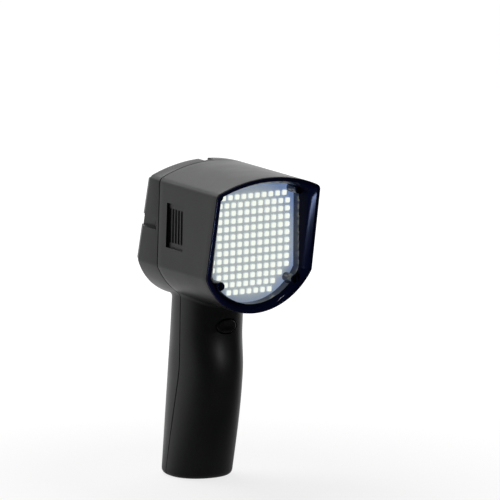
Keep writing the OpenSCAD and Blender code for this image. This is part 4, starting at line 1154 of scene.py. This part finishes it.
class STROBE_OT_trigger(bpy.types.Operator):
    """Builds the trigger: an oval button that follows the grip's curve, with a shallow finger dish"""

    bl_idname = "strobe.trigger"
    bl_label = "Trigger"

    def execute(self, context):
        g = context.scene.strobe_grip
        w, h, curve_r = g.trigger_w, g.trigger_h, g.width / 2
        front, back = TRIGGER_LOW.y, TRIGGER_HIGH.y
        oval, dish_end = ellipse(w, h, 72), 0.9
        share = np.array([1.0, 0.99, 0.96, 0.9, 0.8, 0.65, 0.5, 0.35, 0.2, 0.08])[:, None]
        x, up = share * oval[:, 0], share * oval[:, 1]
        bow = curve_r - np.sqrt(curve_r**2 - x**2)
        edge = g.trigger_edge * np.clip((share - dish_end) / (1 - dish_end), 0, 1) ** 2
        dish = g.trigger_dish * np.cos(math.pi / 2 * np.minimum(1, share / dish_end)) ** 2
        face = np.stack([x, front + bow + edge + dish, TRIGGER_Z + up], -1)
        stem_in, ear_t, ear_more, flat = 0.3 * MM, 1.6 * MM, 0.8 * MM, h / 2 - 0.5 * MM
        stem = along_y(oval, (back - stem_in,), TRIGGER_Z)
        button = capped_solid("trigger_oval", np.concatenate([stem, face]))
        ear = ellipse(TRIGGER_HIGH.x - TRIGGER_LOW.x, h + ear_more, 72)
        ear[:, 1] = np.clip(ear[:, 1], -flat, flat)
        shaped(button, "UNION", capped_solid("ears", along_y(ear, (back - ear_t, back), TRIGGER_Z)))
        dressed(button, trigger_plastic(), body="trigger", crease=38)
        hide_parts("trigger_button")
        return {"FINISHED"}


# Materials


def fill(tree, node, **sockets):
    """Gives each named socket of a node a value or a link. A name such as _6 is the socket of that number."""
    for key, value in sockets.items():
        socket = node.inputs[int(key[1:]) if key[1:].isdigit() else key.replace("_", " ")]
        if isinstance(value, bpy.types.NodeSocket):
            tree.links.new(value, socket)
        else:
            socket.default_value = value
    return node


def add(tree, kind, settings=None, **sockets):
    """Adds a node, makes its settings, and gives its sockets their values or links."""
    node = tree.nodes.new(kind)
    for key, value in (settings or {}).items():
        setattr(node, key, value)
    return fill(tree, node, **sockets)


def started(name):
    """A new material with its tree, its surface shader and Object coordinates."""
    material = bpy.data.materials.new(name)
    material.use_nodes = True
    tree = material.node_tree
    return material, tree, tree.nodes["Principled BSDF"], add(tree, "ShaderNodeTexCoord").outputs["Object"]


def once(build):
    """Keeps the material that a function builds, so that pieces share it."""
    kept = []

    def fetch():
        """The material, built at the first call."""
        if not kept:
            kept.append(build())
        return kept[0]

    return fetch


def rgba(colour):
    """A linear colour or an sRGB hex value as a linear colour with full alpha."""
    return (*(linear(colour) if isinstance(colour, str) else colour), 1.0)


# Mix nodes that blend two colours: sockets 6 and 7 are the colours
COLOURS = {"data_type": "RGBA"}


def moulded(name, low, high, roughness, spread, grain_mm, deep_mm=0.01, **sockets):
    """Injection-moulded plastic: an eroded grain, soft changes of gloss, and slightly paler rubbed places.

    The grain of such a mould is finer than a pixel, so it is drawn coarse enough to show close up.
    """
    material, tree, shader, place = started(name)
    handled_mm = 26.0
    handled = add(
        tree, "ShaderNodeTexNoise", Vector=place, Scale=1 / (handled_mm * MM), Detail=3.0, Roughness=0.55
    )
    worn = handled.outputs["Fac"]
    tone = add(tree, "ShaderNodeMix", COLOURS, Factor=worn, _6=rgba(low), _7=rgba(high))
    least, most = roughness - spread, roughness + spread
    gloss = add(tree, "ShaderNodeMapRange", Value=worn, From_Min=0.3, From_Max=0.7, To_Min=least, To_Max=most)
    grain = add(
        tree, "ShaderNodeTexNoise", Vector=place, Scale=1 / (grain_mm * MM), Detail=2.0, Roughness=0.6
    )
    bump = add(tree, "ShaderNodeBump", Height=grain.outputs["Fac"], Strength=0.5, Distance=deep_mm * MM)
    fill(tree, shader, Base_Color=tone.outputs["Result"], Roughness=gloss.outputs["Result"])
    fill(tree, shader, Normal=bump.outputs["Normal"], **{"IOR": 1.53, "Specular_IOR_Level": 0.24, **sockets})
    return material


@once
def case_plastic():
    """ABS, moulded with a fine eroded grain: charcoal with a soft satin sheen."""
    c = bpy.context.scene.strobe_finish
    return moulded("abs_case", c.case, c.case_dust, 0.37, 0.04, 0.4, 0.02)


@once
def bezel_plastic():
    """The recess round the screen: black, and smoother than the case."""
    c = bpy.context.scene.strobe_finish
    return moulded("abs_bezel", c.bezel, "#121214", 0.33, 0.04, 0.4)


@once
def key_plastic():
    """ABS keys: the case's grey, a little smoother from fingers."""
    c = bpy.context.scene.strobe_finish
    return moulded("abs_keys", c.keys, c.case_dust, 0.4, 0.05, 0.4, 0.015)


@once
def trigger_plastic():
    """ABS trigger: darker, polished by the finger in places."""
    c = bpy.context.scene.strobe_finish
    return moulded("abs_trigger", c.trigger, c.case, 0.36, 0.07, 0.5, 0.02)


@once
def vent_shade_sheet():
    """Black sheet behind the vents, a painted shade that stands in for the dark inside of the slots: matt and
    mottled.
    """
    return moulded("polyester_gauze", "#08080a", "#131315", 0.85, 0.05, 0.6, 0.05)


@once
def hood_plastic():
    """Polished polycarbonate of the hood's lip and flare: blue-black, with faint flow marks."""
    c = bpy.context.scene.strobe_finish
    material, tree, shader, place = started("polycarbonate_hood")
    flow_mm = 18.0
    flow = add(tree, "ShaderNodeTexNoise", Vector=place, Scale=1 / (flow_mm * MM), Detail=2.0)
    marks = flow.outputs["Fac"]
    tone = add(tree, "ShaderNodeMix", COLOURS, Factor=marks, _6=rgba(c.hood), _7=rgba("#060814"))
    fill(tree, shader, Base_Color=tone.outputs["Result"], Roughness=0.14, IOR=1.58, Specular_IOR_Level=0.03)
    return material


@once
def throat_plastic():
    """The hood's polish next to the board: black, and so close to the LEDs that it mirrors them."""
    c = bpy.context.scene.strobe_finish
    shine = {"IOR": 1.58, "Specular_IOR_Level": 1.0}
    return moulded("polycarbonate_throat", c.hood, "#060814", 0.08, 0.03, 0.8, 0.004, **shine)


@once
def dull_plastic():
    """The hood's straight wall: black, with a fine matt grain that stops stray light."""
    c = bpy.context.scene.strobe_finish
    shine = {"IOR": 1.58, "Specular_IOR_Level": 0.02}
    return moulded("polycarbonate_dull", "#020206", c.hood, 0.6, 0.05, 0.5, **shine)


@once
def lamp_board():
    """White solder mask on a glass-fibre board: matt white with a faint weave, and a painted light: it glows
    as if the LEDs lit it.

    Past an ellipse round the field of LEDs the painted light turns bluer and dies away, a painted shade of
    the hood.
    """
    c = bpy.context.scene.strobe_finish
    material, tree, shader, place = started("solder_mask_white")
    weave_mm = 0.9
    weave = add(tree, "ShaderNodeTexVoronoi", Vector=place, Scale=1 / (weave_mm * MM)).outputs["Distance"]
    tone = add(tree, "ShaderNodeMix", COLOURS, Factor=weave, _6=rgba(c.board), _7=rgba("#b4bdc8"))
    wide, tall = 2 / (LED_HIGH.x - LED_LOW.x), 2 / (LED_HIGH.z - LED_LOW.z)
    centred = (0, 0, -LAMP_Z * tall)
    field = add(tree, "ShaderNodeMapping", Vector=place, Location=centred, Scale=(wide, 0, tall))
    away = add(tree, "ShaderNodeVectorMath", {"operation": "LENGTH"}, _0=field.outputs["Vector"])
    hood_shade_falloff = add(tree, "ShaderNodeMapRange", Value=away.outputs["Value"], From_Min=0.95, From_Max=1.3)
    painted_hood_shade = hood_shade_falloff.outputs["Result"]
    # Painted light: the board glows as if the LEDs lit it, and past the field it fades to a bluish painted
    # shade of the hood
    glow = add(tree, "ShaderNodeMix", COLOURS, Factor=painted_hood_shade, _6=rgba(c.board), _7=rgba("#7a94c0"))
    fill(tree, shader, Base_Color=tone.outputs["Result"], Roughness=0.45)
    fill(tree, shader, Emission_Color=glow.outputs["Result"], Emission_Strength=0.57)
    return material


@once
def led_body():
    """Moulded white LED package: matt, dull beside its own dome, with a faint painted glow as a halo round
    the lit dome.
    """
    c = bpy.context.scene.strobe_finish
    # Painted light: the package body glows as a halo round the lit dome, though it is no lamp
    glow = {"Emission_Color": rgba(c.led), "Emission_Strength": 0.6}
    return moulded("led_package_white", c.board, "#b9c2cc", 0.5, 0.05, 0.6, 0.005, **glow)


@once
def led_dome():
    """Lit LED: phosphor under a clear dome, which glows nearly white with a trace of yellow."""
    c = bpy.context.scene.strobe_finish
    material, tree, shader, place = started("led_phosphor_lit")
    batch_mm = 9.0
    batch = add(tree, "ShaderNodeTexNoise", Vector=place, Scale=1 / (batch_mm * MM), Detail=1.0)
    spread = batch.outputs["Fac"]
    glow = add(tree, "ShaderNodeMix", COLOURS, Factor=spread, _6=rgba(c.led), _7=rgba("#f5faea"))
    fill(tree, shader, Base_Color=rgba("#8c8c80"), Roughness=0.25)
    fill(tree, shader, Emission_Color=glow.outputs["Result"], Emission_Strength=1.0)
    return material


@once
def screen_film():
    """Reflective liquid crystal film: pale grey-green with a fine dot grid."""
    c = bpy.context.scene.strobe_finish
    material, tree, shader, place = started("liquid_crystal_film")
    dot_mm = 0.42
    square = {"distance": "CHEBYCHEV"}
    dots = add(tree, "ShaderNodeTexVoronoi", square, Vector=place, Scale=1 / (dot_mm * MM), Randomness=0.0)
    apart = dots.outputs["Distance"]
    tone = add(tree, "ShaderNodeMix", COLOURS, Factor=apart, _6=rgba(c.screen), _7=rgba("#999c93"))
    fill(tree, shader, Base_Color=tone.outputs["Result"], Roughness=0.35)
    return material


@once
def screen_ink():
    """Switched liquid crystal: near black, a little uneven."""
    c = bpy.context.scene.strobe_finish
    return moulded("liquid_crystal_dark", c.ink, "#1e2024", 0.4, 0.03, 0.5, 0.001)


@once
def key_print():
    """Signs printed on the keys: dark ink with worn edges."""
    return moulded("key_ink", "#1c1d20", "#26272a", 0.5, 0.05, 0.4, 0.004)


@once
def clear_plastic():
    """Clear acrylic window: polished, with a trace of handling marks."""
    material, tree, shader, place = started("acrylic_clear")
    marks_mm = 6.0
    marks = add(tree, "ShaderNodeTexNoise", Vector=place, Scale=1 / (marks_mm * MM), Detail=4.0)
    gloss = add(tree, "ShaderNodeMapRange", Value=marks.outputs["Fac"], To_Min=0.02, To_Max=0.08)
    fill(tree, shader, Roughness=gloss.outputs["Result"], Transmission_Weight=1.0, IOR=1.49)
    return material


def worked_metal(name, low, high, roughness, scratch_mm):
    """Worked metal: two close tones and uneven gloss along fine marks."""
    material, tree, shader, place = started(name)
    worked = add(tree, "ShaderNodeTexNoise", Vector=place, Scale=1 / (scratch_mm * MM), Detail=3.0)
    marks = worked.outputs["Fac"]
    tone = add(tree, "ShaderNodeMix", COLOURS, Factor=marks, _6=rgba(low), _7=rgba(high))
    least, most = roughness - 0.08, roughness + 0.08
    gloss = add(tree, "ShaderNodeMapRange", Value=marks, To_Min=least, To_Max=most)
    fill(tree, shader, Base_Color=tone.outputs["Result"], Roughness=gloss.outputs["Result"], Metallic=1.0)
    return material


def finish_nodes(nodes, material):
    """Gives CAD nodes their material."""
    for node in nodes:
        slots = frame["nodes"][node].data.materials
        slots.clear()
        slots.append(material)


# Two close tones, roughness, the scale of the marks in millimetres, and the nodes with that finish
METALS = {
    "zinc_plated_steel": ("#8d9095", "#a4a7ab", 0.34, 0.7, ("driver_screws", "board_screws")),
    "black_oxide_steel": ("#1a1a1c", "#2a2a2d", 0.42, 0.6, ("hood_screws", "head_screws", "grip_screws")),
    "turned_brass": ("#a8874a", "#bc9a5a", 0.3, 0.5, ("tripod_insert",)),
    "mill_aluminium": ("#9fa3a8", "#b2b6ba", 0.4, 2.0, ("heat_spreader",)),
}
NYLON = ("key_switches", "trigger_switch", "charging_socket", "sync_socket", "battery_tray")
COATED = {
    "solder_mask_green": ("#1f5238", "#2a6346", 0.35, 1.2, ("driver_board", "main_board", "trigger_board")),
    "nylon_black": ("#18181a", "#222225", 0.45, 0.5, NYLON),
    "can_sleeve": ("#202a3a", "#2b374b", 0.35, 2.0, ("capacitors",)),
    "pressed_ferrite": ("#38383a", "#4a4a4d", 0.7, 0.6, ("power_inductors",)),
    "cell_film": ("#335f92", "#41719f", 0.3, 3.0, ("battery_cells",)),
    "shrunk_film": ("#1c4778", "#265688", 0.28, 4.0, ("battery_sleeve",)),
    "cut_foam": ("#4a4b4f", "#5d5e62", 0.9, 0.8, ("battery_foam",)),
    "wire_red": ("#4e1011", "#611a19", 0.45, 1.0, ("battery_lead", "lamp_lead")),
    "wire_black": ("#222225", "#2e2e31", 0.45, 1.0, ("socket_lead",)),
    "wire_yellow": ("#b8921c", "#caa431", 0.45, 1.0, ("trigger_lead",)),
    "ribbon_grey": ("#828488", "#95979a", 0.5, 1.3, ("display_ribbon",)),
}


class STROBE_OT_inner_parts(bpy.types.Operator):
    """Finishes the pieces that stay as the frame has them: screws, boards, cells, sockets and leads"""

    bl_idname = "strobe.inner_parts"
    bl_label = "Fasteners and inner parts"

    def execute(self, context):
        gloss_spread = 0.05
        for name, (low, high, roughness, scratch_mm, nodes) in METALS.items():
            finish_nodes(nodes, worked_metal(name, low, high, roughness, scratch_mm))
        for name, (low, high, roughness, mottle_mm, nodes) in COATED.items():
            finish_nodes(nodes, moulded(name, low, high, roughness, gloss_spread, mottle_mm))
        return {"FINISHED"}


# Stage


def lamp(name, at, target, size, power, size_y=None):
    """Soft rectangular studio light aimed at a point."""
    light = bpy.data.lights.new(name, "AREA")
    light.shape = "RECTANGLE"
    light.size, light.size_y = size, size_y or size
    light.energy = power
    stand = linked(name, light)
    stand.location = at
    stand.rotation_euler = (Vector(target) - Vector(at)).to_track_quat("-Z", "Y").to_euler()
    return stand


def mirrored(tree, path):
    """1 for rays that come by way of gloss or glass."""
    kinds = [path.outputs["Is Glossy Ray"], path.outputs["Is Transmission Ray"]]
    return add(tree, "ShaderNodeMath", {"operation": "MAXIMUM"}, _0=kinds[0], _1=kinds[1]).outputs["Value"]


def stage_paper(c):
    """Stage paper: plain paper that keeps the shadow, and that the camera, gloss and glass see as white.

    It is paler away from the object, and in gloss and glass it dims towards the unlit front of the studio.
    """
    material, tree, shader, place = started("stage_paper")
    tooth_mm = 4.0
    times, most = {"operation": "MULTIPLY"}, {"operation": "MAXIMUM"}
    tooth = add(tree, "ShaderNodeTexNoise", Vector=place, Scale=1 / (tooth_mm * MM), Detail=2.0)
    rough = tooth.outputs["Fac"]
    tone = add(tree, "ShaderNodeMix", COLOURS, Factor=rough, _6=rgba(c.floor), _7=rgba("#7a7a7a"))
    path = add(tree, "ShaderNodeLightPath")
    away = add(tree, "ShaderNodeVectorMath", {"operation": "LENGTH"}, _0=place).outputs["Value"]
    paler = add(tree, "ShaderNodeMapRange", Value=away, From_Min=0.1, From_Max=0.5, To_Min=0.8, To_Max=1.0)
    along = add(tree, "ShaderNodeSeparateXYZ", _0=place).outputs["Y"]
    behind = add(
        tree, "ShaderNodeMapRange", Value=along, From_Min=-0.1, From_Max=0.2, To_Min=0.03, To_Max=1.0
    )
    dimmed = add(tree, "ShaderNodeMath", times, _0=behind.outputs["Result"], _1=mirrored(tree, path))
    seen = add(tree, "ShaderNodeMath", most, _0=path.outputs["Is Camera Ray"], _1=dimmed.outputs["Value"])
    glow = add(tree, "ShaderNodeMath", times, _0=seen.outputs["Value"], _1=paler.outputs["Result"])
    fill(tree, shader, Base_Color=tone.outputs["Result"], Roughness=0.9, Specular_IOR_Level=0.0)
    fill(tree, shader, Emission_Color=(1, 1, 1, 1), Emission_Strength=glow.outputs["Value"])
    return material


def studio_white():
    """World: white to the camera, white behind the object in gloss and glass, a faint fill for the rest."""
    world = bpy.data.worlds.new("studio")
    world.use_nodes = True
    tree = world.node_tree
    fill_level = 0.035
    path = add(tree, "ShaderNodeLightPath")
    ray = add(tree, "ShaderNodeTexCoord").outputs["Generated"]
    way = add(tree, "ShaderNodeSeparateXYZ", _0=ray).outputs["Y"]
    behind = add(
        tree, "ShaderNodeMapRange", Value=way, From_Min=-0.1, From_Max=0.25, To_Min=0.03, To_Max=1.0
    )
    lit = add(tree, "ShaderNodeMix", Factor=mirrored(tree, path), A=fill_level, B=behind.outputs["Result"])
    level = add(tree, "ShaderNodeMix", Factor=path.outputs["Is Camera Ray"], A=lit.outputs["Result"], B=1.0)
    fill(tree, tree.nodes["Background"], Color=(1, 1, 1, 1), Strength=level.outputs["Result"])
    return world


class STROBE_OT_stage(bpy.types.Operator):
    """Builds the pale floor, the soft studio light and the camera"""

    bl_idname = "strobe.stage"
    bl_label = "Stage"

    def execute(self, context):
        scene, v = context.scene, context.scene.strobe_view
        scene.view_settings.view_transform = "Standard"
        half, floor_z = v.floor_side / 2, -0.2 * MM
        corners = np.array([(-half, -half), (half, -half), (half, half), (-half, half)])
        points = np.column_stack([corners, np.full(len(corners), floor_z)])
        floor = new_object("floor", points, np.arange(len(corners))[None])
        floor.data.materials.append(stage_paper(scene.strobe_finish))

        scene.world = studio_white()
        body, swell, mouth = (0, -0.03, 0.13), (0, -0.04, 0.08), (0.04, -0.07, 0.19)
        lamp("key_light", (0.0, 0.67, 1.35), body, 0.8, 10.0)
        lamp("side_light", (-0.71, 0.82, 0.98), body, 0.8, 4.95)
        lamp("rim_light", (1.13, 0.68, 0.55), body, 0.8, 4.0)
        lamp("crown_light", (0.85, 0.82, 0.84), body, 0.8, 0.3)
        spot = lamp("swell_light", (0.03, -1.12, 0.68), swell, 0.04, 0.012)
        spot.data.spread = math.radians(5)
        spot.visible_diffuse = False
        strip = lamp("hood_light", (-0.22, -0.19, 0.098), mouth, 0.14, 2.0, 0.03)
        strip.data.color = (0.45, 0.58, 1.0)
        lit = bpy.data.collections.new("lit_by_hood_light")
        lit.objects.link(bpy.data.objects["lamp_hood_polished"])
        strip.light_linking.receiver_collection = lit

        camera = bpy.data.cameras.new("camera")
        camera.lens = v.lens
        camera.sensor_width = 36
        camera.clip_start, camera.clip_end = 0.1, 100
        a, e, r = v.azimuth, v.elevation, v.roll
        back = Vector((math.sin(a) * math.cos(e), -math.cos(a) * math.cos(e), math.sin(e)))
        level_right = Vector((math.cos(a), math.sin(a), 0))
        level_up = back.cross(level_right)
        right = math.cos(r) * level_right + math.sin(r) * level_up
        up = math.cos(r) * level_up - math.sin(r) * level_right
        stand = linked("camera", camera)
        stand.matrix_world = Matrix((right, up, back)).transposed().to_4x4()
        stand.location = Vector((0, LAMP_Y, LAMP_Z)) + v.distance * back - v.aim_right * right - v.aim_up * up
        scene.camera = stand
        return {"FINISHED"}


OPERATORS = (
    STROBE_OT_front_housing,
    STROBE_OT_rear_housing,
    STROBE_OT_lamp_hood,
    STROBE_OT_lamp,
    STROBE_OT_display,
    STROBE_OT_keys,
    STROBE_OT_trigger,
    STROBE_OT_inner_parts,
    STROBE_OT_stage,
)
GROUPS = {
    "strobe_head": HeadSizes,
    "strobe_face": FaceSizes,
    "strobe_grip": GripSizes,
    "strobe_finish": Finishes,
    "strobe_view": ViewSizes,
}


class STROBE_PT_sidebar(bpy.types.Panel):
    """Lists the pieces that can be built"""

    bl_idname = "STROBE_PT_sidebar"
    bl_label = "LED stroboscope"
    bl_space_type = "VIEW_3D"
    bl_region_type = "UI"
    bl_category = "Stroboscope"

    def draw(self, context):
        for operator in OPERATORS:
            self.layout.operator(operator.bl_idname)


def register():
    """Registers the classes and hangs the property groups on the scene."""
    for kind in (*GROUPS.values(), *OPERATORS, STROBE_PT_sidebar):
        bpy.utils.register_class(kind)
    for name, group in GROUPS.items():
        setattr(bpy.types.Scene, name, bpy.props.PointerProperty(type=group))


def unregister():
    """Takes the property groups and the classes away again."""
    for name in GROUPS:
        delattr(bpy.types.Scene, name)
    for kind in (STROBE_PT_sidebar, *reversed(OPERATORS), *reversed(GROUPS.values())):
        bpy.utils.unregister_class(kind)


def main():
    """Builds every piece in order."""
    register()
    for operator in OPERATORS:
        group, name = operator.bl_idname.split(".")
        getattr(getattr(bpy.ops, group), name)()


if __name__ == "__main__":
    main()
